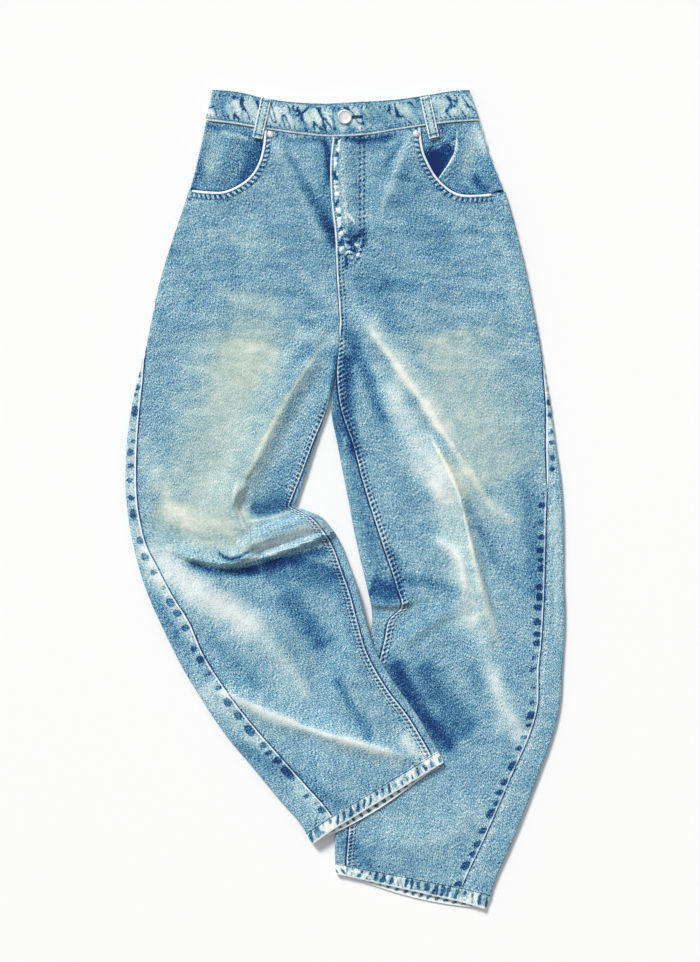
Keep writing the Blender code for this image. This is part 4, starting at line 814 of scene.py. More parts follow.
def denim(name, darker, grainy):
    """Washed cotton denim: dyed warp over white weft, so that it is dull, grainy and a little fuzzy."""
    made, tree, shader = new_material(name)
    cloth = add(tree, "ShaderNodeUVMap", uv_map="cloth").outputs[0]
    # This paleness holds wear together with painted shade and painted highlights
    worn, mark, tint = (
        add(tree, "ShaderNodeAttribute", attribute_name=field).outputs["Fac"]
        for field in ("worn", "mark", "tint")
    )

    def specks(across, along, detail, seed, lean):
        """Noise whose grains measure across by along metres of cloth, from about -1 to 1."""
        leaning = add(tree, "ShaderNodeMapping", {0: cloth, 2: (0, 0, math.radians(-lean))}).outputs[0]
        fitted = {0: leaning, 1: (seed, seed, 0), 3: (1 / across, 1 / along, 1)}
        fitted = add(tree, "ShaderNodeMapping", fitted).outputs[0]
        inputs = {"Vector": fitted, "Scale": 1.0, "Detail": detail, "Roughness": 0.6}
        grain = add(tree, "ShaderNodeTexNoise", inputs, noise_dimensions="2D").outputs[0]
        return sum_of(tree, (grain, 4.0), (1.0, -2.0))

    # Slanting slubs of yarn, drawn at 0.9 by 2.5 mm where real ones are half of that, so that they show
    grain = specks(0.0009, 0.0025, 1.0, 0.0, 33)
    flecks = specks(0.0030, 0.0075, 1.0, 7.3, 20)
    mottle = specks(0.015, 0.011, 3.0, 3.1, 0)
    # The twill's diagonal, drawn with a wave every 5.2 mm, where the real one is 0.6 mm, so that it
    # shows. A wave texture's own wave is 0.314 long
    diagonal = add(tree, "ShaderNodeMapping", {0: cloth, 2: (0, 0, math.radians(35))}).outputs[0]
    waves = {"Vector": diagonal, "Scale": 0.314 / 0.0052}
    waves.update({"Distortion": 1.6, "Detail": 1.0, "Detail Scale": 1.5})
    twill = add(tree, "ShaderNodeTexWave", waves, bands_direction="X").outputs["Fac"]

    # Marks keep crisp, broken edges however wide the mesh is spaced
    ragged = sum_of(tree, (mark, 1.0), (grain, 0.16), (flecks, 0.10))
    crest, trough = (
        add(
            tree,
            "ShaderNodeMapRange",
            {"Value": ragged, "From Min": 0.18 * way, "From Max": 0.75 * way},
            interpolation_type="SMOOTHSTEP",
        ).outputs[0]
        for way in (1, -1)
    )
    # darker takes the same amount off the whole cloth: painted shade, used for the pocket facings
    level = sum_of(tree, (worn, 1.0), (crest, 0.42), (trough, -0.46), (1.0, -darker))
    # Grain is strong on mid blue and faint in navy and cream
    fading = {"Value": level, "From Min": 1.0, "From Max": 0.55, "To Min": 0.35, "To Max": 1.0}
    strength = add(tree, "ShaderNodeMapRange", fading).outputs[0]
    fine = sum_of(tree, (grain, 0.44 * grainy), (flecks, 0.03), (twill, 0.04), (1.0, -0.02))
    fine = add(tree, "ShaderNodeMath", {0: fine, 1: strength}, operation="MULTIPLY").outputs[0]
    faded = sum_of(tree, (tint, -0.5), (1.0, 1.0))
    fine = add(tree, "ShaderNodeMath", {0: fine, 1: faded}, operation="MULTIPLY").outputs[0]
    level = sum_of(tree, (level, 1.0), (fine, 1.0), (mottle, 0.085))
    shades = []
    for stops in (WASH, WARM_WASH):
        dyed = add(tree, "ShaderNodeValToRGB", {0: level})
        elements = dyed.color_ramp.elements
        while len(elements) < len(stops):
            elements.new(0.5)
        for element, (place, colour) in zip(elements, stops):
            element.position = place
            element.color = linear(colour)
        shades.append(dyed.outputs[0])
    colour = add(tree, "ShaderNodeMix", {0: tint, 6: shades[0], 7: shades[1]}, data_type="RGBA").outputs[2]
    height = sum_of(tree, (grain, 0.5), (twill, 0.5), (flecks, 0.3))
    bump = add(tree, "ShaderNodeBump", {"Strength": 0.45, "Distance": 0.0002, "Height": height})
    feed(shader, {"Base Color": colour, "Normal": bump.outputs[0], "Roughness": 0.90})
    feed(shader, {"Specular IOR Level": 0.25, "Sheen Weight": 0.18, "Sheen Roughness": 0.5})
    return made


def metal(name, colour, roughness):
    """Plated steel or zinc, brushed dull."""
    made, _, shader = new_material(name)
    feed(shader, {"Base Color": linear(colour), "Metallic": 1.0, "Roughness": roughness})
    return made


def thread(name, colour):
    """Spun polyester and cotton sewing thread."""
    made, _, shader = new_material(name)
    feed(shader, {"Base Color": linear(colour), "Roughness": 0.75})
    feed(shader, {"Specular IOR Level": 0.3, "Sheen Weight": 0.1})
    return made


# Meshes

def spread_rows(downs, arounds):
    """The same place down the leg for every place around it."""
    return np.repeat(downs[:, None], arounds.shape[1], axis=1)


def grid_faces(rows, columns, turned_over):
    index = np.arange(rows * columns).reshape(rows, columns)
    quads = np.stack([index[:-1, :-1], index[:-1, 1:], index[1:, 1:], index[1:, :-1]], -1)
    quads = quads.reshape(-1, 4)
    return quads[:, ::-1] if turned_over else quads


def cut_grid(places, faces, keep):
    """Cuts away the part of a grid where keep is below 0, and gives its places and faces."""
    inside = keep > 0
    count = inside[faces].sum(axis=1)
    kept = faces[count == 4].tolist()
    added, shared = [], {}
    for face in faces[(count > 0) & (count < 4)].tolist():
        outline = []
        for a, b in zip(face, face[1:] + face[:1]):
            if inside[a]:
                outline.append(a)
            if inside[a] != inside[b]:
                key = (min(a, b), max(a, b))
                if key not in shared:
                    share = keep[a] / (keep[a] - keep[b])
                    shared[key] = len(places) + len(added)
                    added.append(places[a] + share * (places[b] - places[a]))
                outline.append(shared[key])
        kept.append(outline)
    places = np.concatenate([places, np.array(added).reshape(-1, places.shape[1])])
    used = np.unique(np.concatenate([np.array(face) for face in kept]))
    order = np.zeros(len(places), int)
    order[used] = np.arange(len(used))
    return places[used], [order[face].tolist() for face in map(np.array, kept)]


def in_scene(name, data):
    made = bpy.data.objects.new(name, data)
    bpy.context.scene.collection.objects.link(made)
    return made


def new_object(name, points, faces, finish, values=None, cloth=None):
    """A smooth-shaded mesh with its named values at each point and its place on the cloth in metres."""
    mesh = bpy.data.meshes.new(name)
    mesh.from_pydata(points.tolist(), [], [list(face) for face in faces])
    for field, numbers in (values or {}).items():
        shown = mesh.attributes.new(field, "FLOAT", "POINT")
        shown.data.foreach_set("value", np.asarray(numbers, np.float32))
    if cloth is not None:
        corners = np.empty(len(mesh.loops), np.int32)
        mesh.loops.foreach_get("vertex_index", corners)
        mesh.uv_layers.new(name="cloth").data.foreach_set("uv", cloth[corners].astype(np.float32).ravel())
    mesh.materials.append(finish)
    mesh.shade_smooth()
    return in_scene(name, mesh)


def settle(made):
    """Makes an object's modifiers part of its own mesh."""
    bpy.context.view_layer.update()
    graph = bpy.context.evaluated_depsgraph_get()
    shown = made.evaluated_get(graph)
    mesh = bpy.data.meshes.new_from_object(shown, preserve_all_data_layers=True, depsgraph=graph)
    made.modifiers.clear()
    made.data = mesh
    return made


def thicken(made, cloth):
    """Gives a face its cloth's thickness, inwards."""
    wall = made.modifiers.new("cloth", "SOLIDIFY")
    wall.thickness = cloth
    wall.offset = -1.0
    settle(made)
    made.data.set_sharp_from_angle(angle=math.radians(50))
    return made


def leg_points(side, down, around, dress, folds=None):
    """Points on a leg's dressed cloth, its outward directions and its look."""
    folds = SHAPE[side] if folds is None else folds

    def surface(down, around):
        return leg_ring(side, down, around, folds)

    points, outward = facing_out(surface, down, around, ACROSS[side])
    look = dress(side, down, around, points[:, 0], points[:, 1])
    return points + outward * look.pop("lift")[:, None], outward, look


def leg_piece(name, side, downs, arounds, dress, finish, cloth=DENIM, folds=None, keep=None):
    """A piece of a leg's cloth on a grid of places, dressed with relief, wear, and painted shade and
    highlights.
    """
    places = np.stack([downs.ravel(), arounds.ravel()], -1)
    faces = grid_faces(*downs.shape, side == "left")
    if keep is not None:
        faces = np.asarray(faces)
        places, faces = cut_grid(places, faces, keep(places[:, 0], places[:, 1]))
    down, around = places.T
    points, outward, look = leg_points(side, down, around, dress, folds)
    a, b, c = faces[0][:3]
    if np.dot(np.cross(points[b] - points[a], points[c] - points[b]), outward[a]) < 0:
        faces = [face[::-1] for face in faces]
    made = new_object(name, points, faces, finish, look, np.stack([around * ACROSS[side], -down], -1))
    return thicken(made, cloth)


# Wear

def look_of(lift, worn, mark, tint, most=1.4):
    """How far cloth stands out, and how pale it is from wear and painted light and shade, how marked and how
    warm it is.
    """
    return {"lift": lift, "worn": worn, "mark": np.clip(mark, -most, most), "tint": tint}


def wash_and_painted_light(side, x, y):
    """How pale and how warm a leg's upper face is, from its fades and rubbed crests, and from painted shade
    in its hollows and beside the crossing leg and painted highlights on its folds.
    """
    worn = np.full_like(x, 0.50)
    tint = np.full_like(x, 0.12)
    # The streaks lay in fades together with painted shade and painted highlights
    for streak in STREAKS[side]:
        broad = max(streak.on_left, streak.on_right) > 0.010
        share = row_share(streak, x, y, 2.0, 1.0, 0.20 if broad else 0.45, broad)
        worn += streak.worn * share
        tint += streak.tint * share
    # Thin pale wisps lie across the hips and thighs, and faint ones run down the legs
    hips = smooth((y - 0.12) / 0.05) * (1 - smooth((y - 0.40) / 0.04))
    slope = 0.10 * np.abs(x)
    wisps = drift((x + 0.3) / 0.040, (y + slope) / 0.0085, 5)
    wisps += 0.7 * drift((x + 0.3) / 0.024, (y + slope) / 0.0048, 6)
    clouds = drift(x / 0.030, y / 0.020, 7) + 0.6 * drift(x / 0.012, y / 0.012, 9)
    runs = drift(x / 0.0075, y / 0.045, 10)
    worn = worn + hips * (0.055 * wisps + 0.045 * clouds) + (1 - hips) * (0.030 * clouds + 0.016 * runs)
    return worn, np.clip(tint, 0.0, 1.0)


def ripple(x, y):
    """The soft unevenness of washed cloth."""
    broad = drift(x / 0.052 + 0.4 * y / 0.052, y / 0.047, 3)
    return 0.00030 * broad + 0.00013 * drift(x / 0.021, y / 0.024, 8)


def inseam_shows(side, y):
    """Near the crotch, the right leg's inseam is rolled under its edge."""
    return smooth((0.135 - y) / 0.035) if side == "right" else np.ones_like(y)


def spots(along, away, pitch, centre, size, seed):
    """Round blotches strung unevenly along a seam."""
    cell = along / pitch + 0.45 * drift(along / (2.3 * pitch), along * 0, seed)
    number = np.floor(cell)
    aside = (away - centre - 0.0016 * scatter(number, 1, seed)) / size
    ahead = (cell - number - 0.5 + 0.2 * scatter(number, 2, seed)) * pitch / size
    strength = 0.65 + 0.35 * scatter(number, 3, seed)
    return strength * (1 - smooth(np.hypot(aside, ahead * (1.05 + 0.35 * scatter(number, 4, seed)))))


def below_crotch(down):
    return smooth((down - 0.25) / 0.02)


def below_left_knee(side, y):
    """Where the side seam's allowance is turned to the front, low on the left leg."""
    return smooth((0.030 - y) / 0.03) if side == "left" else np.zeros_like(y)


def front_dress(side, down, around, x, y):
    start, end = front_limits(side, down)
    from_in, to_side = around - start, end - around
    to_hem = leg_length(side) - down
    worn, tint = wash_and_painted_light(side, x, y)
    seed = 11 + LEG_NUMBER[side]
    legs = below_crotch(down)
    lift = ripple(x, y)
    mark = np.zeros_like(x)

    # Side seam: rubbed front edge or, low on the left leg, the blotches of its seam allowance
    wave = rungs(down, to_side, SIDE_PUCKER, 0.3, seed)
    lift = lift + 0.00040 * wave * near(to_side, 0.017) + 0.00035 * near(to_side - 0.0012, 0.0022)
    low_left = below_left_knee(side, y)
    mark -= 1.4 * (1 - low_left) * near(to_side - 0.0003, 0.0021)
    mark += 1.3 * low_left * near(to_side - 0.0005, 0.0019)
    mark += 0.35 * low_left * near(to_side - 0.0052, 0.0050)
    mark -= 3.2 * low_left * spots(down, to_side, 0.0158, 0.0058, 0.0072, seed)
    mark -= 0.5 * smooth(-wave - 0.2) * near(to_side - 0.004, 0.006)

    # Inseam: pulls that run out from the felled seam
    pull = rungs(down, from_in, INSEAM_PUCKER, 0.5, seed + 2)
    beyond = legs * near(from_in - 0.010, 0.016)
    lift += 0.00028 * pull * beyond
    pulled = 0.55 * smooth(-pull - 0.1) * legs * near(from_in - 0.0115, 0.007)
    mark += (1.2 * near(from_in - 0.0003, 0.0018) - pulled) * inseam_shows(side, y)

    # Hem: short slanting wrinkles above the turned-up edge
    wrinkle = rungs(around, to_hem, HEM_PUCKER, 1.2, seed + 3)
    over_hem = near(to_hem - 0.015, 0.024)
    lift += 0.00045 * wrinkle * over_hem
    mark -= 0.75 * smooth(-wrinkle - 0.15) * near(to_hem - 0.017, 0.013)
    mark += 0.35 * smooth(wrinkle - 0.3) * near(to_hem - 0.017, 0.012)

    # Waist: little puckers under the waistband, and a thin dark line along its edge, painted shadow of the
    # band
    pucker = rungs(around, down, WAIST_PUCKER, 0.4, seed + 4)
    lift += 0.00030 * pucker * near(down, 0.016)
    mark = mark - 0.8 * smooth(-pucker) * near(down - 0.004, 0.007) - 0.5 * near(down, 0.0025)

    if side == "left":
        fly_lift, fly_mark = fly_dress(down, from_in, x, y)
        lift, mark = lift + fly_lift, mark + fly_mark

    # Pocket edge
    from_edge, run = pocket_distance(side, x, y)
    pinch = rungs(run, from_edge, POCKET_PUCKER, 0.6, seed + 5)
    at_pocket = smooth((0.115 - down) / 0.01)
    lift += at_pocket * (0.00030 * pinch * near(from_edge - 0.009, 0.010))
    mark -= at_pocket * 0.5 * smooth(-pinch - 0.1) * near(from_edge - 0.011, 0.006)
    return look_of(lift, worn, mark, tint, 1.5)


def back_dress(side, down, around, x, y):
    start, end = back_limits(side, down)
    from_side, to_in = around - start, end - around
    to_hem = leg_length(side) - down
    half = half_ring(side, down)
    on_top = 1 - smooth((around - half) / 0.004) * (1 - smooth((around - 2 * half + 0.004) / 0.004))
    above, warm = wash_and_painted_light(side, x, y)
    under = 0.48 + 0.05 * drift(x / 0.06, y / 0.09, 21) + 0.06 * near(x - 0.12 * ACROSS[side], 0.07)
    seat = near(y - 0.27, 0.14) * near(x - 0.11 * ACROSS[side], 0.11)
    behind_knee = near(y - 0.01, 0.09) * near(x - 0.13 * ACROSS[side], 0.12)
    under = under + 0.12 * seat + 0.06 * behind_knee * drift((x + 0.3) / 0.040, (y + 0.1 * x) / 0.0090, 23)
    worn = under + (above - under) * on_top
    seed = 31 + LEG_NUMBER[side]
    legs = below_crotch(down)
    lift = ripple(x, y) * on_top
    mark = np.zeros_like(x)

    wave = rungs(down, from_side, SIDE_PUCKER, 0.3, seed - 20)
    lift += 0.00045 * wave * near(from_side, 0.016)
    low_left = below_left_knee(side, y)
    mark += 1.3 * (1 - low_left) * near(from_side - 0.0005, 0.0019)
    mark -= 1.4 * low_left * near(from_side - 0.0003, 0.0022)
    mark += 0.35 * near(from_side - 0.0052, 0.0060)
    low = smooth((-0.04 - y) / 0.08)
    mark -= 3.0 * (1 - low_left) * spots(down, from_side, 0.0180, 0.0058, 0.0060 + 0.0016 * low, seed)
    patches = smooth(0.6 + 0.8 * drift(down / 0.034, down * 0, seed + 8)) * (1 - low_left)
    worn += (0.05 + 0.16 * patches) * near(from_side - 0.006, 0.016) * legs

    mark -= 1.5 * near(to_in - 0.0004, 0.0024) * legs * inseam_shows(side, y)
    pull = rungs(down, to_in, 0.0140, 0.4, seed + 2)
    lift += 0.00025 * pull * near(to_in, 0.012) * legs

    wrinkle = rungs(around, to_hem, HEM_PUCKER, 1.2, seed + 3)
    lift += 0.00040 * wrinkle * near(to_hem - 0.015, 0.024) * on_top
    mark -= 0.7 * smooth(-wrinkle - 0.15) * near(to_hem - 0.017, 0.013)
    return look_of(lift, worn, mark, warm * on_top, 1.5)


def spaced(start, end, spacing):
    """Places from start to end whose gaps follow the wanted spacing at each place, the same number
    on every row. start and end are one number for each row."""
    fine = np.linspace(0.0, 1.0, 1600)
    places = start[:, None] + (end - start)[:, None] * fine
    density = 1.0 / spacing(places)
    total = np.cumsum((density[:, 1:] + density[:, :-1]) / 2, axis=1) * (end - start)[:, None] / 1599
    total = np.concatenate([np.zeros((len(start), 1)), total], axis=1)
    count = int(math.ceil(total[:, -1].max()))
    evenly = np.linspace(0, 1, count + 1)
    return np.array([np.interp(evenly * row[-1], row, place) for row, place in zip(total, places)])


def front_panel(side, finish):
    top = 0.190
    first = np.arange(0.0, top, 0.0016 if side == "left" else 0.0022)
    foot = leg_length(side) - HEM_DEPTH
    downs = np.concatenate([first, np.arange(top, foot, 0.0027), [foot + HEM_LAP]])
    start, end = front_limits(side, downs)
    half = half_ring(side, downs)[:, None]

    def spacing(places):
        from_edge = np.minimum(places - start[:, None], end[:, None] - places)
        at_seam = 0.0006 + 0.0018 * smooth((from_edge - 0.002) / 0.010)
        from_fold = np.minimum(np.abs(places), np.abs(half - places))
        at_fold = 0.0009 + 0.0015 * smooth((from_fold - QUARTER) / 0.004)
        return np.minimum(at_seam, at_fold)

    arounds = spaced(start, end, spacing)
    downs = spread_rows(downs, arounds)

    def keep(down, around):
        point = leg_ring(side, down, around, ())
        inside, _ = pocket_distance(side, point[:, 0], point[:, 1])
        return np.where(down > 0.13, 1.0, inside)

    return leg_piece("denim_front_" + side, side, downs, arounds, front_dress, finish, keep=keep)


def yoke_line(around_share):
    """How far down the yoke seam lies, from the side seam to the centre back."""
    return YOKE_AT_SIDE + (YOKE_AT_CENTRE - YOKE_AT_SIDE) * around_share


def hem_drop(side, down, around):
    """The back hem hangs a little lower than the front one, most in the middle."""
    start, end = back_limits(side, down)
    share = np.clip((around - start) / (end - start), 0, 1)
    towards = smooth((down - leg_length(side) + 0.06) / 0.06)
    return towards * 0.0078 * np.sin(np.pi * smooth(share)) ** 0.8


def back_spacing(side, downs):
    start, end = back_limits(side, downs)
    half = half_ring(side, downs)[:, None]

    def spacing(places):
        from_edge = np.minimum(places - start[:, None], end[:, None] - places)
        at_seam = 0.0007 + 0.0017 * smooth((from_edge - 0.003) / 0.012)
        fold = np.minimum(np.abs(places - half), np.abs(places - 2 * half))
        at_fold = 0.0010 + 0.0065 * smooth((fold - QUARTER) / 0.012)
        return np.minimum(np.where((places > half) & (places < 2 * half), 0.01, at_seam), at_fold)

    return spaced(start, end, spacing)


def back_shares(side, downs):
    """How far across a back panel each place of its grid lies, 0 at the side seam and 1 at the centre."""
    start, end = back_limits(side, downs)
    return (back_spacing(side, downs) - start[:, None]) / (end - start)[:, None]


def across_back(side, down, share):
    start, end = back_limits(side, down)
    return start + share * (end - start)


def back_panel(side, finish):
    downs = np.linspace(YOKE_AT_CENTRE, leg_length(side) - HEM_DEPTH + HEM_LAP, 300)
    share = back_shares(side, downs)
    downs = spread_rows(downs, share)
    fade = 1 - smooth((downs - YOKE_AT_CENTRE) / 0.100)
    downs += fade * (yoke_line(np.clip(share, 0.0, 1.0)) + SEAM_GAP / 2 - YOKE_AT_CENTRE)
    arounds = across_back(side, downs, share)
    downs += hem_drop(side, downs, arounds)
    return leg_piece("denim_back_" + side, side, downs, arounds, back_dress, finish)


def yoke(side, finish):
    downs = np.linspace(0.0, YOKE_AT_CENTRE, 26)
    share = back_shares(side, downs)
    seam = yoke_line(np.clip(share, 0.0, 1.0))
    downs = downs[:, None] / YOKE_AT_CENTRE * (seam - SEAM_GAP / 2)
    arounds = across_back(side, downs, share)
    return leg_piece("denim_yoke_" + side, side, downs, arounds, back_dress, finish)


def facing_dress(side, down, around, x, y):
    to_side = around - half_ring(side, down)
    from_edge, _ = pocket_distance(side, x, y)
    # The facing starts darker than the legs, painted shade for its place down in the pocket opening, and its
    # streaks add painted shade and painted highlights
    worn = np.full_like(x, 0.45)
    tint = np.zeros_like(x)
    for streak in FACING_STREAKS[side]:
        share = row_share(streak, x, y)
        worn += streak.worn * share
        tint += streak.tint * share
    # The dark band along the pocket edge is painted shade under the front panel's edge
    mark = -0.9 * near(from_edge, 0.0045)
    crumple = drift(x / 0.007, y / 0.011, 41)
    # On the left facing, a painted highlight along the crest of its fold and painted shadow beside it
    # towards the pocket edge, deeper lower down
    if side == "left":
        aside, _ = line_distance(curve_points(FACING_RIDGE, 24), x, y)
        depth = 0.35 + 0.65 * smooth((0.434 - y) / 0.020)
        painted_ridge_shadow = 1.1 * depth * smooth(-aside / 0.0016) * smooth((aside + 0.030) / 0.012)
        mark = mark + 1.3 * near(aside, 0.0012) - painted_ridge_shadow
    below = DENIM + FACING_GAP + 0.0001
    depth = below + (0.0009 - below) * smooth((to_side + 0.012) / 0.008)
    mark = np.minimum(mark + 0.3 * crumple, 1.2)
    return look_of(-depth, worn, mark, np.clip(tint, 0, 1))


def facing(side, finish):
    rows = np.linspace(0.0, 1.0, 70)
    to_side = np.linspace(-FACING_WIDTH, -SEAM_GAP / 2, 72)[None, :]
    foot = FACING_DEPTH + (FACING_SIDE_DEPTH[side] - FACING_DEPTH) * smooth((to_side + 0.021) / 0.009)
    downs = FACING_GAP + (foot - FACING_GAP) * rows[:, None]
    arounds = half_ring(side, downs) + to_side
    folds = FACING_FOLDS[side]
    return leg_piece("denim_facing_" + side, side, downs, arounds, facing_dress, finish, FACING_CLOTH, folds)


# Hems

def hem_dress(side, down, around, x, y):
    to_hem = leg_length(side) - down
    worn, tint = wash_and_painted_light(side, x, y)
    under = around > half_ring(side, down) + 0.004
    seed = 51 + LEG_NUMBER[side]
    slant = 0.25 if side == "right" else -0.15
    uneven = drift(around / 0.0060, to_hem / 0.0050, seed + 6)
    uneven += 0.8 * drift(around / 0.026, to_hem * 0, seed + 7)
    wander = 0.0030 * drift(around / 0.021, to_hem / 0.010, seed + 8)
    rope = rungs(around + wander, to_hem, HEM_ROPE, slant, seed)
    inside = near(to_hem - 0.0070, 0.0080)
    lift = 0.00035 + 0.00070 * rope * inside - 0.0004 * smooth((0.0012 - to_hem) / 0.0012)
    lift = np.where(under, 0.4 * lift, lift)
    threads = drift(around / 0.0022, to_hem / 0.0070, seed + 9)
    mark = 0.36 + 0.30 * uneven + 0.40 * threads
    mark -= 2.0 * smooth((0.05 - rope - 0.65 * uneven + 0.3 * threads) / 0.7) * smooth(1.5 * inside)
    squares = smooth((rungs(around, to_hem, 0.0104, 0.0, seed + 2) + 0.10) / 0.4)
    squares = squares * near(to_hem - 0.0052, 0.0068)
    mark = np.where(under, 1.1 - 3.0 * squares, mark)
    mark = mark - 1.2 * near(to_hem - 0.0140, 0.0012) + 1.0 * near(to_hem, 0.0026)
    pale = np.maximum(worn, 0.5) + 0.10 + 0.14 * under
    return look_of(lift, pale, mark, tint + 0.15)


def hem(side, face, finish):
    """The turned-up edge of a leg, roped into slanting ridges."""
    to_edge = np.append(np.linspace(HEM_DEPTH, 0.0012, 13), [0.0008, 0.0004, 0])
    down = leg_length(side) - to_edge
    start, end = front_limits(side, down) if face == "front" else back_limits(side, down)
    half = half_ring(side, down)[:, None]

    def spacing(places):
        top = places <= half
        return np.where(top | (places > 2 * half - 0.004), 0.0011, 0.0021)

    arounds = spaced(start, end, spacing)
    downs = spread_rows(down, arounds)
    if face == "back":
        downs += hem_drop(side, downs, arounds)

    dress = hem_dress if face == "front" else back_hem_dress
    return leg_piece("hem_" + face + "_" + side, side, downs, arounds, dress, finish, HEM_CLOTH)


# The felled inseam

def fell_dress(side, down, around, x, y):
    start, _ = front_limits(side, down)
    away = around - start
    worn, tint = wash_and_painted_light(side, x, y)
    seed = 61 + LEG_NUMBER[side]
    bars = rungs(down, away, 0.0053, 0.5, seed)
    first, second = near(away - 0.0034, 0.0032), near(away - 0.0078, 0.0022)
    dashes = smooth((0.15 - bars) / 0.45) * np.maximum(smooth(1.5 * first), 0.8 * second)
    lift = front_dress(side, down, around, x, y)["lift"] + 0.00060
    lift = lift + 0.00030 * bars * np.maximum(first, second) - 0.0007 * smooth((away - 0.0080) / 0.0014)
    mark = (0.42 - 2.0 * dashes + 1.3 * near(away - 0.0003, 0.0013)) * inseam_shows(side, y)
    return look_of(lift, worn + 0.05, mark, tint)


def fell(side, finish):
    """The felled inseam, which shows as a raised double-stitched band on the front."""
    downs = np.arange(FELL_START, leg_length(side) - HEM_DEPTH, 0.00125)
    start, _ = front_limits(side, downs)
    arounds = start[:, None] + np.linspace(0.0004, 0.0092, 9)
    downs = spread_rows(downs, arounds)
    return leg_piece("inseam_band_" + side, side, downs, arounds, fell_dress, finish, FELL_CLOTH)


# Pocket edges and fly

def pocket_path(side, away):
    """The places down and around a leg along its pocket edge, away metres into the cloth."""
    line = curve_points(POCKET_EDGES[side], 240)
    along = np.gradient(line, axis=0)
    along /= np.linalg.norm(along, axis=1, keepdims=True)
    inward = np.stack([along[:, 1], -along[:, 0]], -1) * ACROSS[side]
    x, y = (line + inward * away).T
    inside = (y < waist_seam(x) - 0.0006) & (np.abs(x - line[0, 0]) < 0.0900)
    down, around = placed(side, x, y)
    limit = half_ring(side, down) - along_leg(side, "side_wrap", down) - 0.0006
    return down, np.minimum(around, limit), inside & (around < limit + 0.004)


def pocket_dress(side, down, around, x, y):
    away, run = pocket_distance(side, x, y)
    worn, tint = wash_and_painted_light(side, x, y)
    seed = 101 + LEG_NUMBER[side]
    bars = rungs(run, away, 0.0058, 0.35, seed)
    middle = near(away - 0.0056, 0.0040)
    lift = front_dress(side, down, around, x, y)["lift"]
    lift = lift + 0.00055 + 0.00022 * bars * middle - 0.0009 * smooth((0.0006 - away) / 0.0012) ** 2
    lift = lift - 0.00030 * near(away - 0.0027, 0.0009) - 0.0005 * smooth((away - 0.0086) / 0.0012)
    mark = 0.35 - 1.9 * smooth((0.2 - bars) / 0.5) * smooth(1.4 * middle) + 1.4 * near(away - 0.0003, 0.0024)
    mark = mark - 1.3 * near(away - 0.0029, 0.0011) - 0.9 * near(away - 0.0090, 0.0011)
    return look_of(lift, worn + 0.05, mark, tint * 0.5)


def pocket_band(side, finish):
    """The pocket opening's turned edge, double-stitched and pinched into bars."""
    offsets = (-0.7, -0.3, 0.3, 1.0, 1.8, 2.6, 3.6, 4.8, 6.0, 7.2, 8.3, 9.2, 9.8)
    columns = [pocket_path(side, away / 1000) for away in offsets]
    inside = np.all([column[2] for column in columns], axis=0)
    first, last = np.flatnonzero(inside)[[0, -1]]
    downs = np.stack([column[0][first : last + 1] for column in columns], -1)
    arounds = np.stack([column[1][first : last + 1] for column in columns], -1)
    name = "pocket_band_" + side
    return leg_piece(name, side, downs, arounds, pocket_dress, finish, POCKET_BAND_CLOTH)


# The fly's stitching in plan, from the waist down and round to the centre front
FLY_STITCH = [
    (0.0201, 0.4410), (0.0201, 0.3800), (0.0200, 0.3300), (0.0178, 0.3050),
    (0.0110, 0.2905), (0.0020, 0.2830), (-0.0062, 0.2812),
]


def fly_dress(down, from_in, x, y):
    """How the fly pulls the left front: puckers over the zip, a ridge beside it and the stitched J."""
    over = smooth((ZIP_FOOT - down) / 0.010)
    bars = rungs(down, from_in, 0.0098, 0.25, 111)
    zip_side = near(from_in - 0.0068, 0.0058)
    lift = over * (0.00050 * bars * zip_side + 0.0004 * near(from_in - 0.001, 0.0018))
    mark = over * (-1.1 * smooth(-1.2 * bars + 0.05) + 0.45 * smooth(bars - 0.1)) * zip_side
    ridge = near(from_in - 0.0140 + 0.0016 * drift(down / 0.022, from_in * 0, 119), 0.0042)
    between = smooth(down / 0.012) * smooth((0.128 - down) / 0.012)
    lift += 0.0006 * ridge * between
    mark = mark + 0.45 * ridge * between - 0.45 * near(from_in - 0.0192, 0.0024) * between
    # The foot of the zip gathers the cloth into small sharp crumples
    gather = 1 - smooth(np.hypot((x - 0.0065) / 0.019, (y - 0.3030) / 0.020))
    fold = drift((x + 0.7 * y) / 0.0072, (y - 0.5 * x) / 0.0060, 121)
    fold += 0.5 * drift(x / 0.0040, y / 0.0036, 122)
    lift += gather * (0.0007 * np.abs(fold) - 0.0004)
    mark += gather * (1.7 * smooth((np.abs(fold) - 0.35) / 0.35) - 2.0 * near(fold, 0.34))
    line = curve_points(FLY_STITCH, 60)
    away, run = line_distance(line, x, y)
    dashes = rungs(run, away, 0.0068, 0.3, 113)
    rows = near(np.abs(away) - 0.0026, 0.0021)
    lift = lift - 0.00020 * rows + 0.00030 * dashes * near(away, 0.0060)
    mark = mark - 1.5 * rows * smooth((0.1 - dashes) / 0.5) + 0.5 * near(away, 0.0020) * smooth(dashes)
    return lift, mark


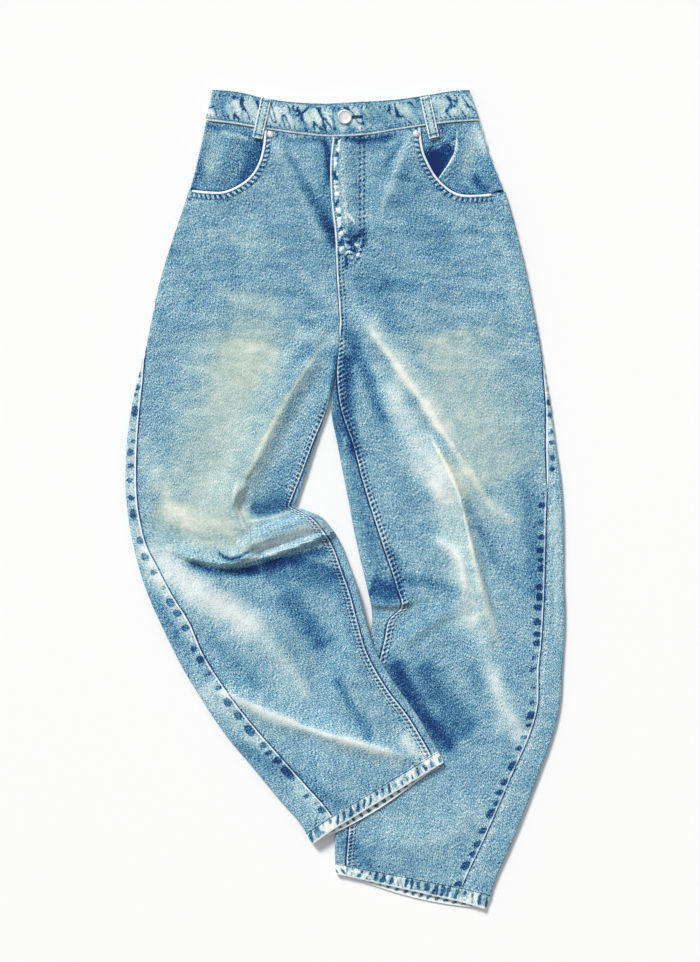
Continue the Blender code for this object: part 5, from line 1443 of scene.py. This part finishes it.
def fly_edge_dress(side, down, around, x, y):
    """The folded edge of the fly, rubbed to cream, with its stitching and the bumps of the zip under it."""
    start, _ = front_limits(side, down)
    away = around - start
    worn, tint = wash_and_painted_light(side, x, y)
    over = smooth((ZIP_FOOT - down) / 0.010)
    lumps = drift(down / 0.0062, away / 0.0050, 114) + 0.7 * drift(down / 0.0031, away / 0.0042, 115)
    zone = near(away - 0.0068, 0.0046)
    bars = rungs(down, away, 0.0050, 0.4, 116)
    dots = rungs(down, away, 0.0034, 0.0, 117)
    seamed = np.maximum(near(away - 0.0036, 0.0022), near(away - 0.0078, 0.0022))
    lift = front_dress(side, down, around, x, y)["lift"] + 0.00040
    lift = lift + 0.00030 * lumps * zone * over - 0.0006 * smooth((away - 0.0105) / 0.0014)
    stitched = 1.3 * near(away - FLY_EDGE_ROW, 0.0010) * smooth((dots + 0.5) / 0.4)
    mark = 0.15 + 1.5 * near(away - 0.0002, 0.0020) - stitched
    mark += over * zone * (1.3 * smooth((lumps - 0.1) / 0.5) - 1.9 * smooth((-lumps - 0.05) / 0.4))
    mark -= (1 - over) * 1.6 * smooth((0.1 - bars) / 0.5) * seamed
    return look_of(lift, worn + 0.04, mark, tint)


def fly_edge(finish):
    downs = np.arange(0.0008, FELL_START, 0.00115)
    start, _ = front_limits("left", downs)
    arounds = start[:, None] + np.append(np.linspace(0.0, 0.0036, 8), np.linspace(0.0045, 0.0118, 9))
    downs = spread_rows(downs, arounds)
    return leg_piece("fly_edge", "left", downs, arounds, fly_edge_dress, finish, FLY_EDGE_CLOTH)


# Waistband

def band_stops():
    """How far across each station of the waistband lies, along its middle."""
    stops = [0.0]
    for a, b in zip(BAND, BAND[1:]):
        across = (b.lower_x + b.upper_x - a.lower_x - a.upper_x) / 2
        up = (b.lower_y + b.upper_y - a.lower_y - a.upper_y) / 2
        stops.append(stops[-1] + math.hypot(across, up))
    return stops


def band_plan(place, height):
    """A point of the waistband in plan: place metres from the right fold, height 0 at its lower edge."""
    stops = band_stops()
    place = np.clip(place, 0.0, stops[-1])
    lower_x, lower_y, upper_x, upper_y = (
        through(stops, column(BAND, name), place) for name in BandStation._fields
    )
    return lower_x + (upper_x - lower_x) * height, lower_y + (upper_y - lower_y) * height


def band_half():
    """Half of the way round the waistband."""
    return band_stops()[-1] + BAND_FOLD_R * (math.pi - 2)


def band_centre():
    """Where the centre front lies along the waistband."""
    return band_stops()[BAND_CENTRE] + BAND_FOLD_R * (math.pi / 2 - 1)


def band_strip(along, height):
    """Points on the outside of the waistband. along runs in metres from the right side fold over
    the front to the left one and back under it, and below 0 it goes round the right fold again."""
    turn = BAND_FOLD_R * math.pi / 2
    half, width = band_half(), band_stops()[-1]
    ring = along % (2 * half)
    over_top = np.where(ring <= half, ring, 2 * half - ring)
    angle_right = np.clip(over_top / turn, 0, 1) * math.pi / 2
    angle_left = np.clip((half - over_top) / turn, 0, 1) * math.pi / 2
    place = over_top - turn + BAND_FOLD_R
    place = np.where(over_top < turn, BAND_FOLD_R * (1 - np.cos(angle_right)), place)
    at_left = half - over_top < turn
    place = np.where(at_left, width - BAND_FOLD_R * (1 - np.cos(angle_left)), place)
    lift = np.minimum(np.sin(angle_right), np.sin(angle_left)) * np.where(ring <= half, 1, -1)
    x, y = band_plan(place, height)
    lap_end = band_centre() + LAP_LENGTH - 2 * half
    lap = LAP_RAISE * smooth((lap_end + 0.0015 + LAP_SLOPE - along) / LAP_SLOPE)
    z = (BAND_TOP + SEAT_LIFT) / 2 + lift * (BAND_TOP - SEAT_LIFT) / 2 + lap
    return np.stack([x, y, z], -1)


def band_surface(along, away):
    return band_strip(along, away / BAND_HEIGHT)


def profile(width, cloth, fine, coarse):
    """The outline of a folded strip's cross-section: places across its width and depths into it."""
    turn = cloth / 2
    angles = np.radians(np.linspace(-90, 90, 7)[1:-1])
    outer = [(w, 0.0) for w in np.linspace(turn, width - turn, fine)]
    far = [(width - turn + turn * math.cos(a), turn + turn * math.sin(a)) for a in angles]
    inner = [(w, cloth) for w in np.linspace(width - turn, turn, coarse)]
    close = [(turn - turn * math.cos(a), turn - turn * math.sin(a)) for a in angles]
    return np.array(outer + far + inner + close).T


def ribbon(name, surface, alongs, width, cloth, dress, finish, fine=26, coarse=7, sign=1.0):
    """A closed strip of folded cloth on a surface of places along and across it."""
    across, depth = profile(width, cloth, fine, coarse)
    along, away = np.meshgrid(alongs, across, indexing="ij")
    flat_along, flat_away = along.ravel(), away.ravel()
    points, outward = facing_out(surface, flat_along, flat_away, sign)
    look = dress(flat_along, flat_away)
    outer = np.repeat(depth[None, :] < cloth * 0.3, len(alongs), axis=0).ravel()
    lift = np.where(outer, look.pop("lift"), 0.0) - np.repeat(depth[None, :], len(alongs), axis=0).ravel()
    points += outward * lift[:, None]
    rows, columns = along.shape
    index = np.arange(rows * columns).reshape(rows, columns)
    nxt = np.roll(index, -1, axis=1)
    quads = np.stack([index[:-1], nxt[:-1], nxt[1:], index[1:]], -1).reshape(-1, 4)
    if sign > 0:
        quads = quads[:, ::-1]
    ends = [index[0].tolist(), index[-1][::-1].tolist()]
    faces = quads.tolist() + (ends if sign < 0 else [end[::-1] for end in ends])
    made = new_object(name, points, faces, finish, look, np.stack([flat_away, flat_along], -1))
    made.data.set_sharp_from_angle(angle=math.radians(60))
    return made


def band_dress(along, away):
    """Sewn through and washed, the waistband crumples into short slanting creases."""
    from_edge = np.minimum(away, BAND_HEIGHT - away)
    lean = along + 0.6 * away
    broad = drift(lean / 0.0130, away / 0.020, 71)
    fold = drift(lean / 0.0070, (away - 0.6 * along) / 0.028, 72)
    fold += 0.25 * drift(along / 0.0044, away / 0.0060, 74)
    crumpled = smooth(0.75 + 0.6 * drift(along / 0.030, away / 0.03, 75))
    crumpled = crumpled * smooth((from_edge - 0.003) / 0.004)
    bars = rungs(along, from_edge, 0.0058, 0.6, 73)
    dots = rungs(along, from_edge, 0.0031, 0.0, 76)
    upper = away > BAND_HEIGHT / 2
    row = near(from_edge - np.where(upper, 0.0018, 0.0034), 0.0012)
    by_row = near(from_edge - 0.0068, 0.0034)
    lift = crumpled * (0.00080 * np.minimum(np.abs(fold), 0.7) + 0.0003 * broad)
    lift += 0.00022 * bars * by_row
    from_front = np.abs(along - band_centre())
    side_fold = smooth((from_front - 0.138) / 0.018) * (1 - smooth((from_front - 0.185) / 0.02))
    worn = 0.46 + 0.14 * (broad * smooth(from_edge / 0.004) + side_fold)
    worn += 0.32 * crumpled * smooth((np.abs(fold) - 0.12) / 0.55)
    mark = -1.8 * crumpled * near(fold, 0.19) * smooth(0.6 + 1.2 * broad)
    mark += 0.6 * crumpled * near(np.abs(fold) - 0.34, 0.13) * smooth(0.6 + 1.2 * broad)
    mark -= 0.8 * smooth((-bars - 0.1) / 0.5) * by_row
    mark = np.where(from_edge < 0.0050, 0.20, mark) - 1.5 * row * smooth((dots + 0.45) / 0.4)
    mark += 1.2 * near(from_edge - 0.0004, np.where(upper, 0.0008, 0.0020))
    return look_of(lift, worn, mark, 0.15 + 0 * along)


def buttonhole_outline():
    """The keyhole in plan: a round eye at the shank and a slot towards the lap's end."""
    x, y = BUTTON_AT
    angles = np.radians(range(30, 331, 20))
    eye = [(x + EYE_RADIUS * math.cos(a), y + EYE_RADIUS * math.sin(a)) for a in angles]
    return eye + [(x + SLOT_LENGTH, y - SLOT_WIDTH / 2), (x + SLOT_LENGTH, y + SLOT_WIDTH / 2)]


def prism(name, outline, low, high):
    count = len(outline)
    points = np.array([(x, y, z) for z in (low, high) for x, y in outline])
    sides = [(i, (i + 1) % count, count + (i + 1) % count, count + i) for i in range(count)]
    faces = sides + [tuple(range(count))[::-1], tuple(range(count, 2 * count))]
    mesh = bpy.data.meshes.new(name)
    mesh.from_pydata(points.tolist(), [], faces)
    return in_scene(name, mesh)


def waistband(finish):
    half, centre = band_half(), band_centre()
    fine = centre + LAP_LENGTH - np.linspace(0, 1, 4000) * (2 * half + LAP_LENGTH)
    ring = fine % (2 * half)
    turn = np.abs((fine + half / 2) % half - half / 2)
    gap = np.where(turn < 2 * BAND_FOLD_R, 0.0008, np.where(ring <= half, 0.0014, 0.0045))
    total = np.cumsum(1 / gap)
    alongs = np.interp(np.linspace(total[0], total[-1], 520), total, fine)
    size = (BAND_HEIGHT, BAND_CLOTH)
    made = ribbon("denim_waistband", band_surface, alongs, *size, band_dress, finish)
    cutter = prism("buttonhole", buttonhole_outline(), BAND_TOP + LAYER_GAP / 2, 0.03)
    opening = made.modifiers.new("buttonhole", "BOOLEAN")
    opening.object = cutter
    opening.solver = "EXACT"
    settle(made)
    bpy.data.objects.remove(cutter)
    return made


def belt_loop(loop, finish):
    heading = np.array([loop.foot_x - loop.top_x, loop.foot_y - loop.top_y])
    length = np.linalg.norm(heading)
    heading = heading / length
    cloth = LOOP_CLOTH if loop.face == "front" else BACK_LOOP_CLOTH

    def surface(along, away):
        share = along / length
        side_step = away - LOOP_WIDTH / 2
        x = loop.top_x + heading[0] * along - heading[1] * side_step
        y = loop.top_y + heading[1] * along + heading[0] * side_step
        if loop.face == "front":
            bow = 0.0012 * np.sin(np.pi * np.clip(share, 0, 1)) + 0.0012 * smooth((share - 0.62) / 0.2)
            z = BAND_TOP + LAYER_GAP + LOOP_CLOTH + bow
        else:
            z = 0.0 * x
        return np.stack([x, y, z], -1)

    def dress(along, away):
        from_edge = np.minimum(away, LOOP_WIDTH - away)
        bars = rungs(along, away, 0.0050, 0.2, 81 + len(loop.name))
        crease = drift(along / 0.010, away / 0.02, 83 + len(loop.name))
        at_row = near(from_edge - 0.0026, 0.0016)
        lift = 0.00020 * bars * at_row - 0.00025 * near(from_edge - 0.0026, 0.0008) + 0.0002 * crease
        mark = 1.3 * near(from_edge - 0.0004, 0.0014)
        mark -= 1.5 * near(from_edge - 0.0026, 0.0013) * smooth(-bars + 0.9)
        from_end = np.minimum(along, length - along)
        mark = mark + 1.2 * near(from_end, 0.0018) - 1.5 * near(from_end - 0.0042, 0.0014)
        worn = 0.70 + 0.06 * crease
        return look_of(lift, worn, mark, 0.3 + 0 * along)

    sign = 1.0 if loop.face == "front" else -1.0
    alongs = np.linspace(0, length, 64)
    return ribbon("denim_" + loop.name, surface, alongs, LOOP_WIDTH, cloth, dress, finish, 20, 5, sign)


# Back pockets

def on_seat(side, x, y):
    """Where points of a back pocket lie in plan, as it sits on its side of the seat."""
    centre_x, centre_y, turn = POCKET_CENTRES[side]
    cosine, sine = math.cos(math.radians(turn)), math.sin(math.radians(turn))
    return centre_x + x * cosine - y * sine, centre_y + x * sine + y * cosine


def back_pocket(side, finish):
    """A five-sided patch on the seat, under the back panel."""
    half_width, top = POCKET_WIDTH / 2, POCKET_SIDE / 2
    count = 60
    down, across = np.meshgrid(np.linspace(0, 1, count), np.linspace(-1, 1, count), indexing="ij")
    x = across * half_width * (1 - POCKET_TAPER * down)
    length = 2 * top + POCKET_DROP * (1 - np.abs(across))
    y = top - length * down
    from_edge = np.minimum(half_width - np.abs(x), length * np.minimum(down, 1 - down))
    bars = rungs(x + y, from_edge, 0.0085, 0.3, 91)
    depth = 0.0001 + 0.0001 * near(from_edge - 0.003, 0.002)
    points = np.stack([*on_seat(side, x, y), depth], -1).reshape(-1, 3)
    mark = 0.9 * near(from_edge, 0.0030) - 0.9 * near(from_edge - 0.0055, 0.0045) * smooth(-bars + 0.2)
    rubbed = 0.54 + 0.10 * near(from_edge, 0.010) + 0.04 * drift(x / 0.02, y / 0.02, 92)
    look = {"worn": rubbed.ravel(), "mark": mark.ravel(), "tint": 0 * x.ravel()}
    faces = grid_faces(count, count, False)
    cloth = np.stack([x, y], -1).reshape(-1, 2)
    made = new_object("denim_back_pocket_" + side, points, faces, finish, look, cloth)
    return thicken(made, PATCH_CLOTH)


# Metal

def turned(name, outline, place, finish, steps=48):
    """A solid turned about a vertical axis from an outline of radius and height, top to bottom."""
    (centre_x, centre_y), rings = place, outline[1:-1]
    angles = np.linspace(0, 2 * math.pi, steps, endpoint=False)
    points = [(centre_x, centre_y, outline[0][1])]
    points += [(centre_x + r * math.cos(a), centre_y + r * math.sin(a), z) for r, z in rings for a in angles]
    points.append((centre_x, centre_y, outline[-1][1]))
    last = len(points) - 1
    faces = [(0, 1 + i, 1 + (i + 1) % steps) for i in range(steps)]
    for k in range(len(rings) - 1):
        a, b = 1 + k * steps, 1 + (k + 1) * steps
        faces += [(a + i, b + i, b + (i + 1) % steps, a + (i + 1) % steps) for i in range(steps)]
    a = 1 + (len(rings) - 1) * steps
    faces += [(last, a + (i + 1) % steps, a + i) for i in range(steps)]
    made = new_object(name, np.array(points), faces, finish)
    made.data.set_sharp_from_angle(angle=math.radians(40))
    return made


def button(finish):
    foot = BAND_TOP + SEAM_GAP
    rim = BAND_TOP + LAP_RAISE + SEAM_GAP
    top = rim + BUTTON_CAP
    r = BUTTON_RADIUS
    outline = [
        (0.0, top - 0.0004), (r * 0.30, top - 0.0004), (r * 0.66, top - 0.00045), (r * 0.72, top - 0.0003),
        (r * 0.78, top), (r * 0.86, top + 0.0001), (r * 0.93, top - 0.0002), (r * 0.98, top - 0.0008),
        (r, top - 0.0015), (r * 0.99, rim + 0.0006), (r * 0.95, rim),
        (SHANK_RADIUS, rim), (SHANK_RADIUS, foot), (0.0, foot),
    ]
    return turned("button_cap", outline, BUTTON_AT, finish, 64)


def rivet(side, finish):
    x, y = RIVETS[side]
    relief = float(fold_relief(FOLDS[side], np.array([x]), np.array([y]))[0])
    foot = SEAT_LIFT + 2 * FOLD_R + CROWN + relief + RIVET_STAND
    r, h = RIVET_RADIUS, RIVET_HEIGHT
    steps = [
        (0.0, 1.0), (0.20, 1.0), (0.30, 0.86), (0.42, 0.84), (0.58, 0.90),
        (0.80, 0.72), (0.94, 0.42), (1.0, 0.15), (1.0, 0.0), (0.0, 0.0),
    ]
    outline = [(r * out, foot + h * up) for out, up in steps]
    return turned("rivet_cap_" + side, outline, (x, y), finish)


# Stitches

def stitch_tree():
    """Lays one rounded stitch after another along the paths of a mesh of edges."""
    tree = bpy.data.node_groups.new("sewing", "GeometryNodeTree")
    sockets = tree.interface
    kinds = {"Geometry": "Geometry", "Pitch": "Float", "Length": "Float", "Thickness": "Float"}
    kinds.update({"Seed": "Int", "Thread": "Material"})
    for name, kind in kinds.items():
        sockets.new_socket(name, in_out="INPUT", socket_type="NodeSocket" + kind)
    sockets.new_socket("Geometry", in_out="OUTPUT", socket_type="NodeSocketGeometry")
    given = add(tree, "NodeGroupInput").outputs
    up = add(tree, "GeometryNodeInputNamedAttribute", {"Name": "up"}, data_type="FLOAT_VECTOR").outputs[0]
    curve = add(tree, "GeometryNodeMeshToCurve", {"Mesh": given["Geometry"]}).outputs[0]
    paths = {"Curve": curve, "Length": given["Pitch"]}
    spread = add(tree, "GeometryNodeCurveToPoints", paths, mode="LENGTH")
    tangent = {"Vector": spread.outputs["Tangent"]}
    ahead = add(tree, "FunctionNodeAlignRotationToVector", tangent, axis="X").outputs[0]
    standing = {"Rotation": ahead, "Vector": up}
    upright = add(tree, "FunctionNodeAlignRotationToVector", standing, axis="Z", pivot_axis="X").outputs[0]
    bead = add(tree, "GeometryNodeMeshUVSphere", {"Segments": 6, "Rings": 4, "Radius": 1.0}).outputs[0]
    lengths = {2: 0.85, 3: 1.10, "Seed": given["Seed"]}
    uneven = add(tree, "FunctionNodeRandomValue", lengths, data_type="FLOAT").outputs[1]
    long = add(tree, "ShaderNodeMath", {0: given["Length"], 1: uneven}, operation="MULTIPLY").outputs[0]
    long = add(tree, "ShaderNodeMath", {0: long, 1: 0.5}, operation="MULTIPLY").outputs[0]
    thick = add(tree, "ShaderNodeMath", {0: given["Thickness"], 1: 0.5}, operation="MULTIPLY").outputs[0]
    size = add(tree, "ShaderNodeCombineXYZ", {0: long, 1: thick, 2: thick}).outputs[0]
    beads = {"Points": spread.outputs["Points"], "Instance": bead, "Rotation": upright, "Scale": size}
    laid = add(tree, "GeometryNodeInstanceOnPoints", beads).outputs[0]
    real = add(tree, "GeometryNodeRealizeInstances", {0: laid}).outputs[0]
    rounded = add(tree, "GeometryNodeSetShadeSmooth", {0: real}).outputs[0]
    sewn = add(tree, "GeometryNodeSetMaterial", {0: rounded, "Material": given["Thread"]}).outputs[0]
    add(tree, "NodeGroupOutput", {0: sewn})
    return tree


def sew(name, paths, tree, finish, pitch, length, thickness, seed):
    """One object with the stitches of several paths, each its points and outward directions."""
    points, ups, edges = [], [], []
    for path, outward in paths:
        first = len(points)
        points += (path + outward * thickness * 0.30).tolist()
        ups += outward.tolist()
        edges += [(first + i, first + i + 1) for i in range(len(path) - 1)]
    mesh = bpy.data.meshes.new(name)
    mesh.from_pydata(points, edges, [])
    upright = mesh.attributes.new("up", "FLOAT_VECTOR", "POINT")
    upright.data.foreach_set("vector", np.array(ups, np.float32).ravel())
    made = in_scene(name, mesh)
    modifier = made.modifiers.new("sewing", "NODES")
    modifier.node_group = tree
    inputs = {item.name: item.identifier for item in tree.interface.items_tree if item.in_out == "INPUT"}
    given = {"Pitch": pitch, "Length": length, "Thickness": thickness, "Seed": seed, "Thread": finish}
    for given_name, value in given.items():
        modifier[inputs[given_name]] = value
    return settle(made)


def leg_row(side, down, around, dress):
    points, outward, _ = leg_points(side, down, around, dress)
    return points, outward


def back_hem_dress(side, down, around, x, y):
    """The back hem is dressed as the front one, from its own dropped edge."""
    return hem_dress(side, down - hem_drop(side, down, around), around, x, y)


def leg_rows(side):
    """The topstitching of a leg: inseam, hem, yoke, pocket edge and, on the left, the fly and the seat."""
    rows = []
    length = leg_length(side)
    down = np.arange(0.335 if side == "right" else FELL_START + 0.002, length - 0.016, 0.0025)
    start, _ = front_limits(side, down)
    for away in FELL_ROWS:
        rows.append(leg_row(side, down, start + away, fell_dress))
    down = np.full(240, length - HEM_ROW)
    share = np.linspace(0.004, 0.996, len(down))
    start, end = front_limits(side, down)
    rows.append(leg_row(side, down, start + (end - start) * share, hem_dress))
    around = across_back(side, down, share)
    rows.append(leg_row(side, down + hem_drop(side, down, around), around, back_hem_dress))
    share = np.linspace(0.01, 0.99, 160)
    for away in YOKE_ROWS:
        down = yoke_line(share) + away
        rows.append(leg_row(side, down, across_back(side, down, share), back_dress))
    for away in POCKET_ROWS:
        down, around, inside = pocket_path(side, away)
        rows.append(leg_row(side, down[inside], around[inside], pocket_dress))
    if side == "right":
        return rows
    line = curve_points(FLY_STITCH, 160)
    heading = np.gradient(line, axis=0)
    heading /= np.linalg.norm(heading, axis=1, keepdims=True)
    for aside in FLY_ROWS:
        x, y = (line + np.stack([-heading[:, 1], heading[:, 0]], -1) * aside).T
        kept = y < waist_seam(x) - 0.001
        down, around = placed(side, x[kept], y[kept])
        start, _ = front_limits(side, down)
        rows.append(leg_row(side, down, np.maximum(around, start + 0.001), front_dress))
    down = np.arange(0.001, FELL_START, 0.002)
    start, _ = front_limits(side, down)
    rows.append(leg_row(side, down, start + FLY_EDGE_ROW, fly_edge_dress))
    _, end = back_limits(side, down)
    for away in SEAT_ROWS:
        rows.append(leg_row(side, down, end - away, back_dress))
    return rows


def patch_rows(side):
    """The stitching round a back pocket, twice along each edge, on its outer face underneath."""
    rows = []
    top = POCKET_SIDE / 2
    for away in PATCH_ROWS:
        half_width = POCKET_WIDTH / 2 - away
        foot = (1 - POCKET_TAPER) * half_width
        low, point, hem_top = 0.3 * away - top, 1.05 * away - top - POCKET_DROP, top - away - 0.006
        corners = [(-half_width, top), (-foot, low), (0.0, point), (foot, low), (half_width, top)]
        edges = list(zip(corners, corners[1:]))
        edges.append(((-half_width, hem_top), (half_width, hem_top)))
        for (ax, ay), (bx, by) in edges:
            t = np.linspace(0.0, 1.0, 60)
            x, y = on_seat(side, ax + (bx - ax) * t, ay + (by - ay) * t)
            points = np.stack([x, y, np.full_like(x, 0.0001)], -1)
            rows.append((points, np.tile((0.0, 0.0, -1.0), (len(x), 1))))
    return rows


def strip_row(surface, dress, along, away):
    points, outward = facing_out(surface, along, away, 1.0)
    return points + outward * dress(along, away)["lift"][:, None], outward


def band_rows():
    lap_end = band_centre() + LAP_LENGTH
    along = np.linspace(lap_end - 2 * band_half() - LAP_LENGTH + 0.03, lap_end - 0.002, 500)
    return [strip_row(band_surface, band_dress, along, np.full_like(along, away)) for away in BAND_ROWS]


# Building

washed = denim("washed_denim", 0.0, 1.0)
# The pocket facings' denim, darker all over: painted shade for where they lie down in the openings
shaded = denim("shaded_denim", 0.06, 1.0)
crumpled = denim("sewn_through_denim", 0.0, 0.8)
indigo_thread = thread("indigo_thread", "#1d3f6b")
sewing = stitch_tree()
steel = metal("silver_metal", "#efefec", 0.45)


def add_on(made):
    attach(made, "root")
    return made


def show(made, node):
    """A piece that stands for a solid."""
    add_on(made)
    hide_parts(node)
    return made


for side in ("right", "left"):
    front = show(front_panel(side, washed), "front_" + side)
    back = show(back_panel(side, washed), "back_" + side)
    seat_piece = show(yoke(side, washed), "yoke_" + side)
    pocket_facing = show(facing(side, shaded), "pocket_facing_" + side)
    patch = show(back_pocket(side, washed), "back_pocket_" + side)
    extras = [hem(side, "front", crumpled), fell(side, crumpled), pocket_band(side, crumpled)]
    if side == "left":
        extras.append(fly_edge(crumpled))
    for made in extras:
        add_on(made)
    back_hem = add_on(hem(side, "back", crumpled))
    show(rivet(side, steel), "rivet_" + side)
band = show(waistband(crumpled), "waistband")
for loop in LOOPS:
    made_loop = show(belt_loop(loop, crumpled), loop.name)
show(button(steel), "button")
seams = leg_rows("right") + leg_rows("left") + patch_rows("right") + patch_rows("left") + band_rows()
stitch_size = (STITCH_PITCH, STITCH_LENGTH, THREAD_THICKNESS)
add_on(sew("topstitching", seams, sewing, indigo_thread, *stitch_size, STITCH_SEED))


# Floor, light and camera

# The floor lies just under the hems' stitching
FLOOR = -0.0011
CAMERA_AT = (0.0055, 0.02135, 2.779)


def studio():
    floor_material, _, shader = new_material("pale_floor")
    feed(shader, {"Base Color": linear("#f7f7f7"), "Roughness": 0.9, "Specular IOR Level": 0.1})
    points = np.array([(-4, -4, FLOOR), (4, -4, FLOOR), (4, 4, FLOOR), (-4, 4, FLOOR)])
    floor = new_object("floor", points, [(0, 1, 2, 3)], floor_material)

    sun = bpy.data.lights.new("window_light", "SUN")
    sun.energy = 3.1
    sun.angle = math.radians(16)
    sun.color = (1.0, 0.985, 0.96)
    lamp = in_scene("window_light", sun)
    lamp.rotation_euler = (math.radians(-42), math.radians(-30), 0.0)

    softbox = bpy.data.lights.new("overhead_softbox", "AREA")
    softbox.energy = 2.6
    softbox.size = 0.9
    in_scene("overhead_softbox", softbox).location = (-0.2, 0.5, 3.0)

    world = bpy.data.worlds.new("studio")
    world.use_nodes = True
    feed(world.node_tree.nodes["Background"], {0: (0.95, 0.975, 1.0, 1.0), 1: 0.40})
    bpy.context.scene.world = world

    camera = bpy.data.cameras.new("overhead")
    camera.lens = 85
    camera.sensor_width = 36
    camera.clip_end = 20
    eye = in_scene("overhead", camera)
    eye.location = CAMERA_AT
    bpy.context.scene.camera = eye
    bpy.context.scene.view_settings.view_transform = "Standard"


studio()
